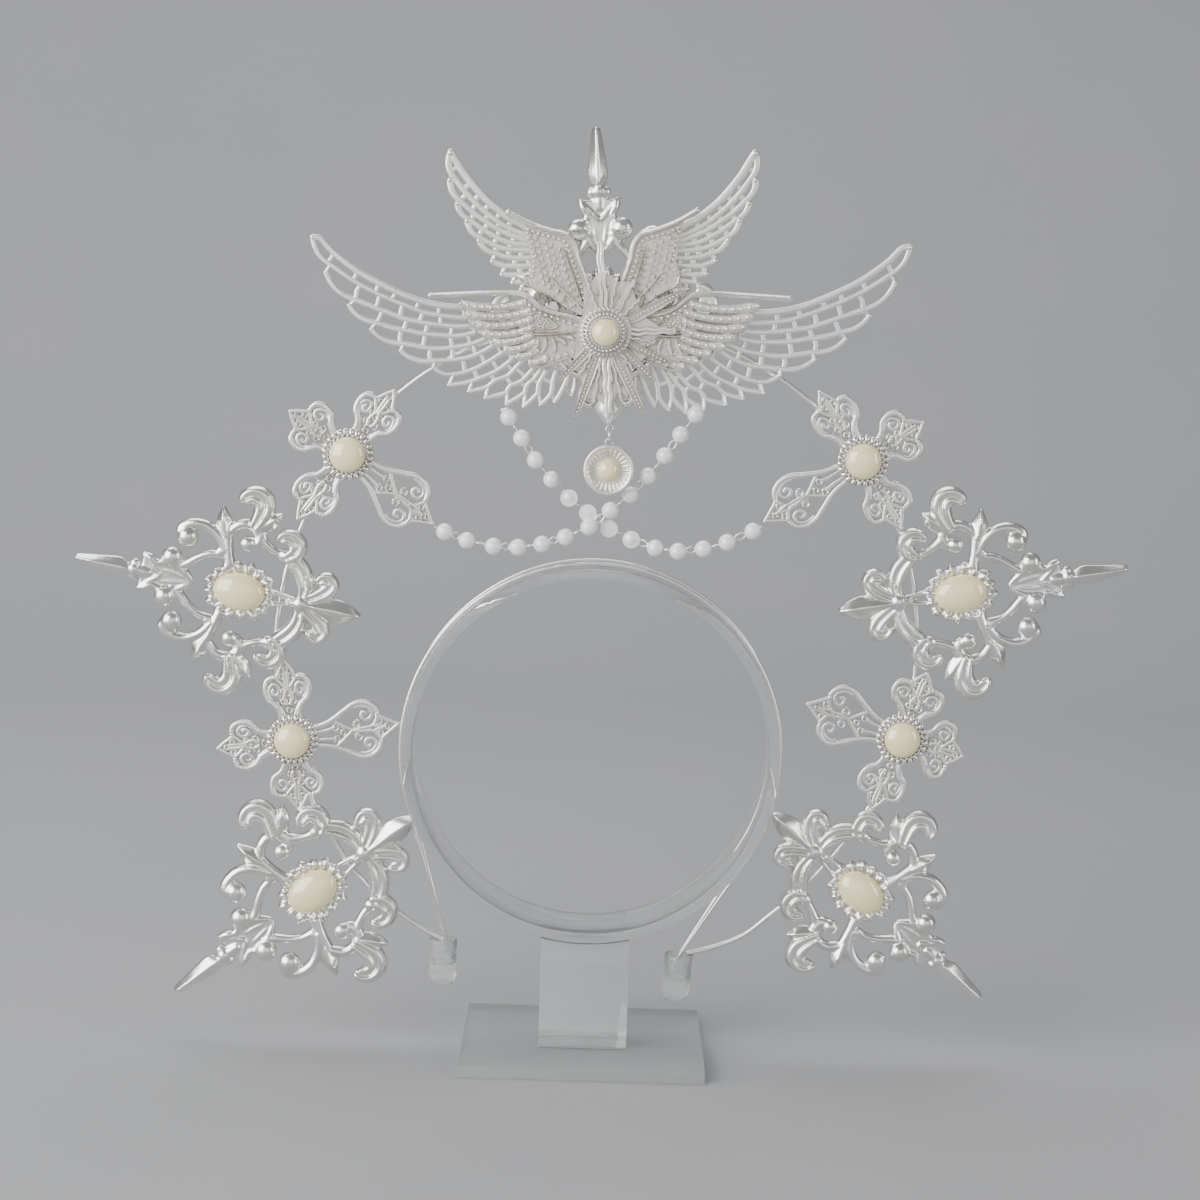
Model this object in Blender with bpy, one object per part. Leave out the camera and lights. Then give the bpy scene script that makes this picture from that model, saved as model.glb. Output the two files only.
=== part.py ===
import math

import bmesh
import bpy
from mathutils import Vector

# Units and depth layers in millimetres, front is towards minus Y
MM = 0.001
GAP = 0.3
WIRE_BACK = -1.3

# Stand sizes
BASE_WIDE, BASE_DEEP, BASE_THICK = 83.0, 72.0, 4.0
RING_OUT, RING_WALL, RING_HALF = 64.6, 3.5, 13.5
RING_Z = 105.7
PLATE_HALF, PLATE_THICK = 15.2, 3.0

# Halo wire and headband wires
HALO_X, HALO_Z, HALO_R = 1.1, 144.1, 1.0
HALO_ANGLE_RADIUS = (
    (244.6, 118.5),
    (235.6, 117.9),
    (224.5, 116.9),
    (217.5, 114.6),
    (200.2, 111.9),
    (182.0, 110.6),
    (149.8, 108.3),
    (119.8, 109.2),
    (90.0, 109.6),
    (60.2, 109.5),
    (21.2, 110.3),
    (0.0, 110.1),
    (-35.3, 110.9),
    (-54.3, 113.2),
    (-63.0, 115.5),
    (-72.5, 114.5),
)
BAND_R, BAND_SPREAD = 0.6, 5.0
BAND_ENDS = ((-47.3, 33.5), (31.2, 31.6))

# End caps: x, z of the bottom, lean in degrees
CAPS = {
    "cap_left": (-49.4, 20.9, 0.0),
    "cap_right": (31.5, 17.8, 4.5),
}
CAP_HALF_X, CAP_HALF_Y, CAP_WALL = 5.0, 4.4, 1.0
CAP_TALL, CAP_POCKET = 16.7, 8.2

# Spear ornaments: x, z of the stone, direction of the spear, size
ORNAMENTS = {
    "ornament_upper_left": (-122.0, 157.7, 169.7, 0.990),
    "ornament_upper_right": (125.1, 164.4, 10.2, 0.994),
    "ornament_lower_left": (-94.8, 53.8, -141.9, 1.031),
    "ornament_lower_right": (94.9, 59.2, -40.2, 0.970),
    "ornament_top": (-0.1, 258.8, 94.1, 1.037),
}
TOP_BACK = -2.9

# Strokes of one half of the ornament: thickness, then u, v and width of each point
HALF_STROKES = (
    (1.90, ((8.0, 11.6, 1.8), (12.5, 10.8, 1.8), (16.6, 8.4, 1.9), (20.4, 5.0, 2.2), (24.0, 3.6, 2.8))),
    (2.04, ((5.2, 7.6, 2.6), (7.0, 13.5, 2.2), (8.7, 19.8, 2.8))),
    (2.30, ((8.2, 18.6, 3.0), (10.3, 23.0, 5.4), (11.2, 27.2, 0.8))),
    (
        1.82,
        (
            (7.6, 12.2, 1.8), (10.8, 17.3, 2.0), (15.6, 20.3, 2.4),
            (20.4, 20.0, 2.6), (22.8, 16.8, 3.2), (21.2, 14.2, 3.0),
        ),
    ),
    (
        1.70,
        (
            (8.7, 19.4, 2.2), (4.6, 23.4, 2.6), (0.2, 23.6, 3.0),
            (-3.4, 21.0, 3.4), (-3.0, 17.6, 2.8), (0.0, 16.6, 2.6),
        ),
    ),
    (2.10, ((-2.6, 22.4, 3.0), (-6.0, 25.6, 4.0), (-9.0, 28.8, 0.8))),
    (
        2.40,
        (
            (-1.4, 23.6, 3.4), (-3.0, 28.6, 5.2), (-2.8, 33.0, 6.2),
            (0.2, 35.6, 4.4), (3.6, 33.0, 1.2),
        ),
    ),
    (1.94, ((-2.8, 19.8, 3.2), (-6.6, 17.4, 2.2), (-10.4, 15.9, 2.0), (-14.8, 15.6, 2.8))),
    (
        2.22,
        (
            (-14.2, 14.6, 3.0), (-17.0, 18.4, 4.6), (-15.6, 21.8, 3.8),
            (-12.4, 22.6, 2.6), (-10.6, 20.6, 1.0),
        ),
    ),
    (2.00, ((-13.6, 16.4, 2.8), (-18.6, 12.8, 3.6), (-21.2, 8.6, 3.8), (-21.2, 1.6, 2.6))),
    (
        2.12,
        (
            (-22.6, 1.2, 3.0), (-27.2, 4.2, 3.8), (-30.6, 7.2, 3.6),
            (-29.4, 9.8, 2.6), (-26.8, 8.4, 1.0),
        ),
    ),
    (1.30, ((-9.8, 2.6, 1.3), (-18.6, 0.9, 1.3))),
)
SPEAR = (2.60, ((35.6, 0.0, 3.4), (39.4, 0.0, 2.6), (45.0, 0.0, 5.2), (52.0, 0.0, 4.2), (58.2, 0.0, 1.0)))
FLEUR = (
    2.50,
    ((-17.2, 0.0, 3.0), (-24.0, 0.0, 4.4), (-30.0, 0.0, 4.8), (-35.0, 0.0, 6.4), (-42.4, 0.0, 0.8)),
)
CUT_FLEUR = (
    2.50,
    ((-17.2, 0.0, 3.0), (-24.0, 0.0, 4.4), (-30.0, 0.0, 4.8), (-34.0, 0.0, 6.2), (-38.0, 0.0, 3.4)),
)
COLLAR = (
    (35.0, 1.8),
    (34.2, 5.2),
    (32.0, 5.6),
    (29.6, 3.4),
    (27.2, 5.4),
    (22.6, 4.6),
    (19.4, 2.4),
    (16.9, 0.0),
)
# Rounded knobs: u, v, radius, height
KNOBS = (
    (37.3, 0.0, 2.7, 2.9),
    (25.2, 5.9, 3.3, 2.9),
    (19.9, 15.2, 3.1, 2.7),
    (0.2, 17.0, 2.2, 2.3),
    (-21.4, 0.0, 3.4, 2.8),
)
RIM_U, RIM_V, RIM_POINTS, RIM_THICK = 12.7, 10.4, 14, 1.5
STONE_U, STONE_V, STONE_HIGH = 9.0, 6.6, 4.2
ORNAMENT_KEEP = 0.55

# Crosses: x, z, angle of the long arm, then angle and length of the short ones
CROSSES = {
    "cross_upper_left": (-85.8, 205.9, -38.1, ((55.4, 26.8), (145.0, 24.5), (-126.6, 28.0))),
    "cross_upper_right": (89.9, 208.8, -146.5, ((34.5, 24.3), (123.9, 27.9), (-58.1, 26.4))),
    "cross_lower_left": (-102.8, 106.6, 10.2, ((97.3, 27.7), (-171.5, 26.0), (-83.7, 24.4))),
    "cross_lower_right": (107.0, 113.2, 161.4, ((71.4, 24.2), (-14.7, 21.7), (-111.1, 26.8))),
}
# Long arms: length of the upper ones, room that the lower ones leave before the ring
LONG_ARMS = {"cross_upper_left": 37.0, "cross_upper_right": 39.1}
RING_ROOM = {"cross_lower_left": 2.6, "cross_lower_right": 14.7}
ARM_ROOT, ARM_ROOT_HALF = 7.5, 3.8
SHORT_EDGE = (
    (ARM_ROOT, ARM_ROOT_HALF),
    (12.0, 5.6),
    (13.6, 8.8),
    (16.8, 10.2),
    (20.2, 8.4),
    (20.8, 4.8),
    (23.4, 2.8),
    (26.0, 0.0),
)
LONG_EDGE = (
    (ARM_ROOT, ARM_ROOT_HALF),
    (13.6, 5.2),
    (20.4, 7.4),
    (23.4, 9.8),
    (26.8, 10.2),
    (30.2, 8.2),
    (30.8, 4.8),
    (33.8, 2.6),
    (36.6, 0.0),
)
SHORT_HOLES = ((16.6, 6.3, 2.0), (16.6, -6.3, 2.0), (17.8, 0.0, 1.9))
LONG_HOLES = ((26.2, 6.2, 2.0), (26.2, -6.2, 2.0), (26.8, 0.0, 1.9), (17.4, 0.0, 2.2))
CROSS_THICK = 1.4
BEZEL_R, BEZEL_TEETH, BEZEL_THICK = 8.8, 24, 1.5
CROSS_PEARL_R, CROSS_PEARL_HIGH = 5.5, 3.6

# Centre of the middle piece; right-hand wings are turned and scaled mirror images
MID_X, MID_Z = 0.8, 250.3
WING_TOP = (
    (-100.1, 279.9),
    (-92.4, 275.0),
    (-84.8, 269.7),
    (-76.6, 264.8),
    (-70.7, 261.8),
    (-63.0, 259.0),
    (-55.4, 257.5),
    (-47.7, 257.0),
    (-37.5, 256.6),
    (-25.7, 256.0),
    (-13.8, 254.6),
    (-5.0, 253.1),
)
WING_TIPS = (
    (-94.7, 267.7),
    (-86.9, 256.9),
    (-79.1, 248.8),
    (-68.9, 241.8),
    (-58.3, 235.2),
    (-52.3, 230.8),
    (-45.3, 228.2),
    (-39.6, 226.3),
    (-33.3, 225.4),
    (-26.4, 224.3),
    (-20.8, 224.8),
    (-15.7, 226.0),
    (-10.1, 228.5),
)
UPPER_TOP = (
    (-53.4, 309.4),
    (-49.6, 303.1),
    (-45.2, 297.1),
    (-41.5, 292.9),
    (-37.4, 289.6),
    (-32.6, 286.6),
    (-23.6, 280.6),
    (-14.8, 272.7),
    (-6.9, 265.8),
)
UPPER_TIPS = (
    (-53.3, 300.2),
    (-50.6, 292.2),
    (-47.1, 286.0),
    (-42.5, 279.4),
    (-37.9, 273.1),
    (-34.5, 268.5),
    (-30.2, 264.9),
    (-25.1, 262.3),
    (-18.8, 259.9),
)
WING_THICK, WING_BAR = 1.2, 1.3
LOW_FEATHER = (
    (-58.6, 261.5),
    (-43.5, 262.6),
    (-29.8, 263.2),
    (-24.7, 262.1),
    (-19.5, 258.4),
    (-9.4, 254.6),
    (-2.0, 253.2),
    (-2.0, 246.5),
    (-7.7, 242.1),
    (-15.8, 239.4),
    (-22.2, 237.7),
    (-27.7, 239.6),
    (-32.6, 242.6),
    (-37.0, 244.8),
    (-39.9, 248.1),
    (-43.2, 250.9),
    (-45.0, 255.0),
    (-46.4, 259.4),
    (-58.6, 260.1),
)
HIGH_FEATHER = (
    (-32.8, 290.3),
    (-20.3, 284.9),
    (-13.2, 283.5),
    (-9.7, 279.2),
    (-6.7, 271.2),
    (-2.6, 263.9),
    (-1.0, 256.6),
    (-6.9, 256.6),
    (-16.6, 260.5),
    (-20.3, 265.3),
    (-23.7, 270.0),
    (-24.8, 276.6),
    (-27.5, 282.7),
    (-33.4, 289.0),
)
# Right-hand copies: turn in degrees and scale
RIGHT_TURN = {"wing": (1.0, 1.026), "upper": (4.3, 0.982), "low": (1.8, 1.046), "high": (5.4, 0.989)}
FEATHER_BACK, FEATHER_THICK = -5.9, 1.7

# Starburst rays from the middle: angle, length
RAYS = (
    (95.5, 30.7),
    (63.0, 20.7),
    (29.3, 30.2),
    (3.0, 23.7),
    (-24.0, 24.7),
    (-43.0, 23.7),
    (-63.6, 31.0),
    (-86.0, 27.2),
    (-107.9, 31.6),
    (-132.0, 21.7),
    (-156.0, 24.7),
    (180.0, 23.7),
    (153.0, 23.7),
    (126.0, 19.7),
)
RAY_INNER, BURST_THICK = 9.0, 1.6
CENTRE_BEZEL_R, CENTRE_BEZEL_TEETH, CENTRE_PEARL_R = 8.7, 20, 4.6

# Hanging drop
HANG_X, HANG_Y = 3.2, -4.2
FLEUR_EYE_Z, FLEUR_EDGE = 217.4, 5.0
EYE_HOLE, EYE_OUT, EYE_THICK = 0.9, 1.6, 1.4
LINK_R, LINK_WIRE = 2.3, 0.4
RING_EYE_Z = FLEUR_EYE_Z - LINK_R
DROP_EYE_Z = RING_EYE_Z - LINK_R
DROP_R, DROP_BACK, DROP_FRONT = 8.8, -5.35, -8.4
DROP_Z = DROP_EYE_Z - DROP_R - 0.4
DROP_PEARL_R = 3.9

# Bead strings: x of each bead and its height above the lowest one
BEAD_R, BEAD_WIRE = 3.0, 0.55
STRING_LEFT = (
    (-52.2, 4.6),
    (-44.5, 1.8),
    (-35.4, 0.1),
    (-27.0, 0.0),
    (-18.8, 1.3),
    (-10.8, 4.0),
    (-2.9, 7.7),
    (4.3, 13.6),
    (10.9, 19.2),
    (16.8, 25.8),
    (22.3, 32.9),
    (27.5, 40.3),
    (32.4, 47.3),
)
STRING_RIGHT = (
    (53.3, 7.9),
    (44.6, 3.8),
    (36.5, 1.3),
    (27.9, 0.2),
    (20.1, 0.9),
    (11.7, 3.6),
    (4.0, 7.1),
    (-3.4, 12.3),
    (-10.0, 17.3),
    (-16.1, 23.5),
    (-21.8, 30.1),
    (-26.7, 37.5),
    (-31.3, 44.5),
)
STRING_ENDS = {
    "left": ((-55.6, 6.3), (34.2, 50.6)),
    "right": ((56.2, 9.7), (-33.1, 47.4)),
}
# Room between the ring and the lowest bead, and the height of the highest wire end
STRING_ROOM, STRING_TOP, STRING_RISE = 2.4, 226.3, 50.6


def clear_scene():
    for thing in list(bpy.data.objects):
        bpy.data.objects.remove(thing, do_unlink=True)


def make_material(name, colour, metallic, roughness, clear=0.0, coat=0.0):
    mat = bpy.data.materials.new(name)
    mat.use_nodes = True
    shader = mat.node_tree.nodes["Principled BSDF"]
    shader.inputs["Base Color"].default_value = (*colour, 1.0)
    shader.inputs["Metallic"].default_value = metallic
    shader.inputs["Roughness"].default_value = roughness
    shader.inputs["Transmission Weight"].default_value = clear
    shader.inputs["Coat Weight"].default_value = coat
    mat.diffuse_color = (*colour, 1.0)
    return mat


SILVER = (0.83, 0.81, 0.77)
IVORY = (0.87, 0.82, 0.67)
WHITE = (0.88, 0.87, 0.84)
CLEAR = (0.90, 0.92, 0.92)
SILICONE = (0.80, 0.81, 0.79)
LOOKS = {
    "silver": (SILVER, 1.0, 0.3, 0.0, 0.0),
    "ivory": (IVORY, 0.0, 0.25, 0.0, 0.6),
    "white": (WHITE, 0.0, 0.25, 0.0, 0.6),
    "acrylic": (CLEAR, 0.0, 0.05, 0.9, 0.0),
    "silicone": (SILICONE, 0.0, 0.35, 0.5, 0.0),
}


def add_node(name, shape, look):
    verts, faces = shape
    mesh = bpy.data.meshes.new(name)
    mesh.from_pydata([(x * MM, y * MM, z * MM) for x, y, z in verts], [], faces)
    mesh.update()
    node = bpy.data.objects.new(name, mesh)
    bpy.context.scene.collection.objects.link(node)
    tidy_mesh(mesh)
    mesh.materials.append(make_material(name, *LOOKS[look]))
    return node


def tidy_mesh(mesh):
    work = bmesh.new()
    work.from_mesh(mesh)
    bmesh.ops.remove_doubles(work, verts=work.verts, dist=0.000002)
    bmesh.ops.dissolve_degenerate(work, edges=work.edges, dist=0.000001)
    bmesh.ops.triangulate(work, faces=work.faces)
    bmesh.ops.recalc_face_normals(work, faces=work.faces)
    if work.calc_volume(signed=True) < 0:
        bmesh.ops.reverse_faces(work, faces=work.faces)
    work.to_mesh(mesh)
    work.free()


def shape_of(mesh):
    return [tuple(v.co) for v in mesh.vertices], [tuple(p.vertices) for p in mesh.polygons]


# Flat pierced plate between two depths, holes as their own outlines
def plate(outline, back, front, holes=()):
    curve = bpy.data.curves.new("outline", "CURVE")
    curve.dimensions = "2D"
    curve.fill_mode = "BOTH"
    curve.extrude = abs(back - front) / 2.0
    for ring in (outline, *holes):
        spline = curve.splines.new("POLY")
        spline.points.add(len(ring) - 1)
        for point, (x, z) in zip(spline.points, ring):
            point.co = (x, z, 0.0, 1.0)
        spline.use_cyclic_u = True
    holder = bpy.data.objects.new("outline", curve)
    bpy.context.scene.collection.objects.link(holder)
    graph = bpy.context.evaluated_depsgraph_get()
    mesh = bpy.data.meshes.new_from_object(holder.evaluated_get(graph))
    middle = (back + front) / 2.0
    verts = [(v.co.x, middle - v.co.z, v.co.y) for v in mesh.vertices]
    faces = [tuple(p.vertices) for p in mesh.polygons]
    bpy.data.objects.remove(holder, do_unlink=True)
    bpy.data.curves.remove(curve)
    bpy.data.meshes.remove(mesh)
    return weld((verts, faces))


def weld(shape):
    verts, faces = shape
    mesh = bpy.data.meshes.new("weld")
    mesh.from_pydata(verts, [], faces)
    work = bmesh.new()
    work.from_mesh(mesh)
    bmesh.ops.remove_doubles(work, verts=work.verts, dist=0.002)
    bmesh.ops.recalc_face_normals(work, faces=work.faces)
    if work.calc_volume(signed=True) < 0:
        bmesh.ops.reverse_faces(work, faces=work.faces)
    work.to_mesh(mesh)
    work.free()
    result = shape_of(mesh)
    bpy.data.meshes.remove(mesh)
    return result


# Tube with its own radius at each point of the path
def tube(path, radii, sides):
    path = [Vector(p) for p in path]
    verts, faces = [], []
    side = Vector((0.0, 1.0, 0.0))
    if abs((path[-1] - path[0]).normalized().y) > 0.9:
        side = Vector((1.0, 0.0, 0.0))
    count = len(path)
    for i, point in enumerate(path):
        ahead = path[min(i + 1, count - 1)] - path[max(i - 1, 0)]
        ahead.normalize()
        side = (side - ahead * side.dot(ahead)).normalized()
        other = ahead.cross(side)
        for k in range(sides):
            turn = 2.0 * math.pi * k / sides
            verts.append(tuple(point + (side * math.cos(turn) + other * math.sin(turn)) * radii[i]))
    for i in range(count - 1):
        for k in range(sides):
            a, b = i * sides + k, i * sides + (k + 1) % sides
            faces.append((a, b, b + sides, a + sides))
    faces.append(tuple(reversed(range(sides))))
    faces.append(tuple((count - 1) * sides + k for k in range(sides)))
    return verts, faces


def loop_tube(path, radius, sides):
    path = [Vector(p) for p in path]
    count = len(path)
    middle = sum(path, Vector()) / count
    normal = (path[0] - middle).cross(path[1] - middle).normalized()
    verts, faces = [], []
    for i, point in enumerate(path):
        ahead = (path[(i + 1) % count] - path[i - 1]).normalized()
        out = ahead.cross(normal)
        for k in range(sides):
            turn = 2.0 * math.pi * k / sides
            verts.append(tuple(point + (out * math.cos(turn) + normal * math.sin(turn)) * radius))
    for i in range(count):
        for k in range(sides):
            a, b = i * sides + k, i * sides + (k + 1) % sides
            c, d = (i + 1) % count * sides + (k + 1) % sides, (i + 1) % count * sides + k
            faces.append((a, b, c, d))
    return verts, faces


# Round shape about the Y axis from a profile of radius and depth
def turned(profile, x, z, sides, stretch=1.0, lean=0.0, wave=None):
    verts, faces, rows = [], [], []
    c, s = math.cos(math.radians(lean)), math.sin(math.radians(lean))
    for radius, y in profile:
        if radius == 0.0:
            rows.append([len(verts)])
            verts.append((x, y, z))
            continue
        rows.append(list(range(len(verts), len(verts) + sides)))
        for k in range(sides):
            turn = 2.0 * math.pi * k / sides
            r = radius * (wave(k) if wave else 1.0)
            u, v = r * math.cos(turn), r * stretch * math.sin(turn)
            verts.append((x + u * c - v * s, y, z + u * s + v * c))
    for low, high in zip(rows, rows[1:]):
        for k in range(sides):
            a, b = low[k % len(low)], low[(k + 1) % len(low)]
            d, e = high[k % len(high)], high[(k + 1) % len(high)]
            faces.append(tuple(dict.fromkeys((a, b, e, d))))
    return weld((verts, faces))


def dome(x, z, radius, back, high, sides=20, rows=5, stretch=1.0, lean=0.0):
    profile = [(0.0, back), (radius * 0.95, back)]
    for i in range(rows):
        turn = 0.5 * math.pi * (i + 0.25) / rows
        profile.append((radius * math.cos(turn), back - 0.3 - (high - 0.3) * math.sin(turn)))
    profile.append((0.0, back - high))
    return turned(profile, x, z, sides, stretch, lean)


def join_exact(shapes, keep=1.0):
    things = []
    for number, (verts, faces) in enumerate(shapes):
        mesh = bpy.data.meshes.new("join%d" % number)
        mesh.from_pydata(verts, [], faces)
        thing = bpy.data.objects.new("join%d" % number, mesh)
        bpy.context.scene.collection.objects.link(thing)
        things.append(thing)
    group = bpy.data.collections.new("join")
    bpy.context.scene.collection.children.link(group)
    for thing in things[1:]:
        group.objects.link(thing)
    modifier = things[0].modifiers.new("join", "BOOLEAN")
    modifier.operation = "UNION"
    modifier.solver = "EXACT"
    modifier.operand_type = "COLLECTION"
    modifier.collection = group
    modifier.use_self = True
    if keep < 1.0:
        lighter = things[0].modifiers.new("lighter", "DECIMATE")
        lighter.ratio = keep
    graph = bpy.context.evaluated_depsgraph_get()
    mesh = bpy.data.meshes.new_from_object(things[0].evaluated_get(graph))
    work = bmesh.new()
    work.from_mesh(mesh)
    bmesh.ops.remove_doubles(work, verts=work.verts, dist=0.01)
    bmesh.ops.dissolve_limit(work, angle_limit=0.002, verts=work.verts, edges=work.edges)
    bmesh.ops.triangulate(work, faces=work.faces)
    bmesh.ops.dissolve_degenerate(work, edges=work.edges, dist=0.005)
    work.to_mesh(mesh)
    work.free()
    result = shape_of(mesh)
    bpy.data.meshes.remove(mesh)
    for thing in things:
        bpy.data.objects.remove(thing, do_unlink=True)
    bpy.data.collections.remove(group)
    return result


# Ridged bar along flat points, flat at the back with its ridge in front
def stroke(thick, points, flip=1.0):
    verts, faces = [], []
    count = len(points)
    for i, (u, v, wide) in enumerate(points):
        before, after = points[max(i - 1, 0)], points[min(i + 1, count - 1)]
        along = Vector((after[0] - before[0], after[1] - before[1])).normalized()
        across = Vector((-along.y, along.x)) * wide / 2.0
        for share, depth in ((-1.0, 0.0), (1.0, 0.0), (0.0, -thick)):
            verts.append((u + across.x * share, depth, (v + across.y * share) * flip))
    for i in range(count - 1):
        for k in range(3):
            a, b = i * 3 + k, i * 3 + (k + 1) % 3
            faces.append((a, b, b + 3, a + 3))
    faces.append((2, 1, 0))
    last = (count - 1) * 3
    faces.append((last, last + 1, last + 2))
    return weld((verts, faces))


def knob(u, v, radius, high):
    profile = [(0.0, -0.02), (radius, -0.02), (radius * 0.86, -high * 0.7), (0.0, -high)]
    return turned(profile, u, v, 8)


# One ornament, spear along u, mirrored in v, back at zero depth
def ornament_shape(fleur, keep):
    shapes = []
    rim = []
    for k in range(RIM_POINTS * 2):
        turn = math.pi * k / RIM_POINTS
        share = 1.0 if k % 2 == 0 else 0.80
        rim.append((RIM_U * share * math.cos(turn), RIM_V * share * math.sin(turn)))
    shapes.append(plate(rim, 0.0, -RIM_THICK))
    for thick, points in HALF_STROKES:
        for flip in (1.0, -1.0):
            shapes.append(stroke(thick, points, flip))
    shapes.append(stroke(*SPEAR))
    shapes.append(stroke(*fleur))
    collar = list(COLLAR) + [(u, -v) for u, v in reversed(COLLAR[:-1])]
    shapes.append(plate(collar, -0.01, -2.3))
    for u, v, radius, high in KNOBS:
        for flip in (1.0, -1.0) if v else (1.0,):
            shapes.append(knob(u, v * flip, radius, high))
    return join_exact(shapes, keep)


def placed(shape, x, z, angle, scale, back):
    c, s = math.cos(math.radians(angle)), math.sin(math.radians(angle))
    verts = []
    for u, y, v in shape[0]:
        u, v = u * scale, v * scale
        verts.append((x + u * c - v * s, y + back, z + u * s + v * c))
    return verts, shape[1]


def round_hole(x, z, radius, sides=8):
    turns = [2.0 * math.pi * k / sides for k in range(sides)]
    return [(x + radius * math.cos(turn), z + radius * math.sin(turn)) for turn in turns]


# Distance from a point to the ring's outline along a direction
def distance_to_ring(x, z, angle):
    ahead = Vector((math.cos(math.radians(angle)), math.sin(math.radians(angle))))
    to_middle = Vector((-x, RING_Z - z))
    along = to_middle.dot(ahead)
    beside = to_middle.length_squared - along * along
    return along - math.sqrt(RING_OUT * RING_OUT - beside)


def cross_shape(x, z, long_arm, short_arms):
    outline, holes = [], []
    arms = [(*arm, SHORT_EDGE, SHORT_HOLES) for arm in short_arms]
    arms = sorted(arms + [(*long_arm, LONG_EDGE, LONG_HOLES)])
    for angle, length, edge, spots in arms:
        c, s = math.cos(math.radians(angle)), math.sin(math.radians(angle))
        grow = length / edge[-1][0]

        def at(a, b):
            if a > ARM_ROOT:
                a *= grow
            return x + a * c - b * s, z + a * s + b * c

        outline += [at(a, -b) for a, b in edge] + [at(a, b) for a, b in reversed(edge[:-1])]
        for a, b, radius in spots:
            holes.append(round_hole(*at(a, b), radius, 6))
    return plate(outline, WIRE_BACK, WIRE_BACK - CROSS_THICK, holes)


def inset(quad, distance):
    size = len(quad)
    lines = []
    area = sum(a[0] * b[1] - b[0] * a[1] for a, b in zip(quad, quad[1:] + quad[:1]))
    turn = 1.0 if area > 0 else -1.0
    for i in range(size):
        a, b = Vector(quad[i]), Vector(quad[(i + 1) % size])
        along = (b - a).normalized()
        inward = Vector((-along.y, along.x)) * turn
        lines.append((a + inward * distance, along))
    result = []
    for i in range(size):
        (p, d), (q, e) = lines[i - 1], lines[i]
        cross = d.x * e.y - d.y * e.x
        share = ((q.x - p.x) * e.y - (q.y - p.y) * e.x) / cross
        result.append(tuple(p + d * share))
    return result


def walk(line, share):
    steps = [math.dist(a, b) for a, b in zip(line, line[1:])]
    left = share * sum(steps)
    for (a, b), step in zip(zip(line, line[1:]), steps):
        if left <= step:
            return a[0] + (b[0] - a[0]) * left / step, a[1] + (b[1] - a[1]) * left / step
        left -= step
    return line[-1]


def between(a, b, share):
    return a[0] + (b[0] - a[0]) * share, a[1] + (b[1] - a[1]) * share


# Pierced wing: ribs fan from the upper edge to the feather tips, cells lie between them
def wing_shape(top, tips, splits, skip, first, close):
    ribs = [walk(top, first + (close - first) * i / (len(tips) - 1)) for i in range(len(tips))]
    outline = list(top)
    for i in range(len(tips) - 1, -1, -1):
        outline.append(tips[i])
        if i:
            notch = between(tips[i], tips[i - 1], 0.45)
            outline.append(between(notch, between(ribs[i], ribs[i - 1], 0.5), 0.10))
    holes = []
    for i in range(len(tips) - 1):
        if i in skip:
            continue
        for low, high in splits:
            quad = [
                between(ribs[i], tips[i], low),
                between(ribs[i + 1], tips[i + 1], low),
                between(ribs[i + 1], tips[i + 1], high),
                between(ribs[i], tips[i], high),
            ]
            holes.append(inset(quad, WING_BAR / 2.0))
    return plate(outline, WIRE_BACK, WIRE_BACK - WING_THICK, holes)


def other_side(shape, turn, scale):
    c, s = math.cos(math.radians(turn)), math.sin(math.radians(turn))
    verts = []
    for x, y, z in shape[0]:
        u, v = (MID_X - x) * scale, (z - MID_Z) * scale
        verts.append((MID_X + u * c - v * s, y, MID_Z + u * s + v * c))
    return verts, [tuple(reversed(face)) for face in shape[1]]


def star_shape():
    outline = []
    rays = sorted(RAYS)
    for i, (angle, length) in enumerate(rays):
        after = rays[(i + 1) % len(rays)][0] + (360.0 if i == len(rays) - 1 else 0.0)
        turn = math.radians(angle)
        wide = 0.045
        for side in (turn - wide / 2.0, turn + wide / 2.0):
            outline.append((MID_X + length * math.cos(side), MID_Z + length * math.sin(side)))
        middle = math.radians((angle + after) / 2.0)
        outline.append((MID_X + RAY_INNER * math.cos(middle), MID_Z + RAY_INNER * math.sin(middle)))
    back = FEATHER_BACK - FEATHER_THICK - GAP
    return plate(outline, back, back - BURST_THICK)


def teeth(count_each):
    return lambda k: 1.0 if k % 2 == 0 else count_each


def bead_string(spots, ends, forward):
    path, radii = [], []
    low = RING_Z + RING_OUT + STRING_ROOM + BEAD_R
    grow = (STRING_TOP - low) / STRING_RISE
    points = [(x, low + tall * grow) for x, tall in (ends[0], *spots, ends[1])]
    depths = [forward(i) for i in range(len(points))]
    line = [Vector((x, y, z)) for (x, z), y in zip(points, depths)]
    path.append(line[0])
    radii.append(BEAD_WIRE)
    for i in range(1, len(line) - 1):
        along = (line[i + 1] - line[i - 1]).normalized()
        for share in (-0.98, -0.80, -0.36, 0.36, 0.80, 0.98):
            path.append(line[i] + along * BEAD_R * share)
            radii.append(max(BEAD_WIRE, BEAD_R * math.sqrt(1.0 - share * share)))
    path.append(line[-1])
    radii.append(BEAD_WIRE)
    return tube(path, radii, 10)


def ring_band(x, z, inner, outer, back, front, sides):
    outline = round_hole(x, z, outer, sides)
    return plate(outline, back, front, [round_hole(x, z, inner, sides)])


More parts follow.
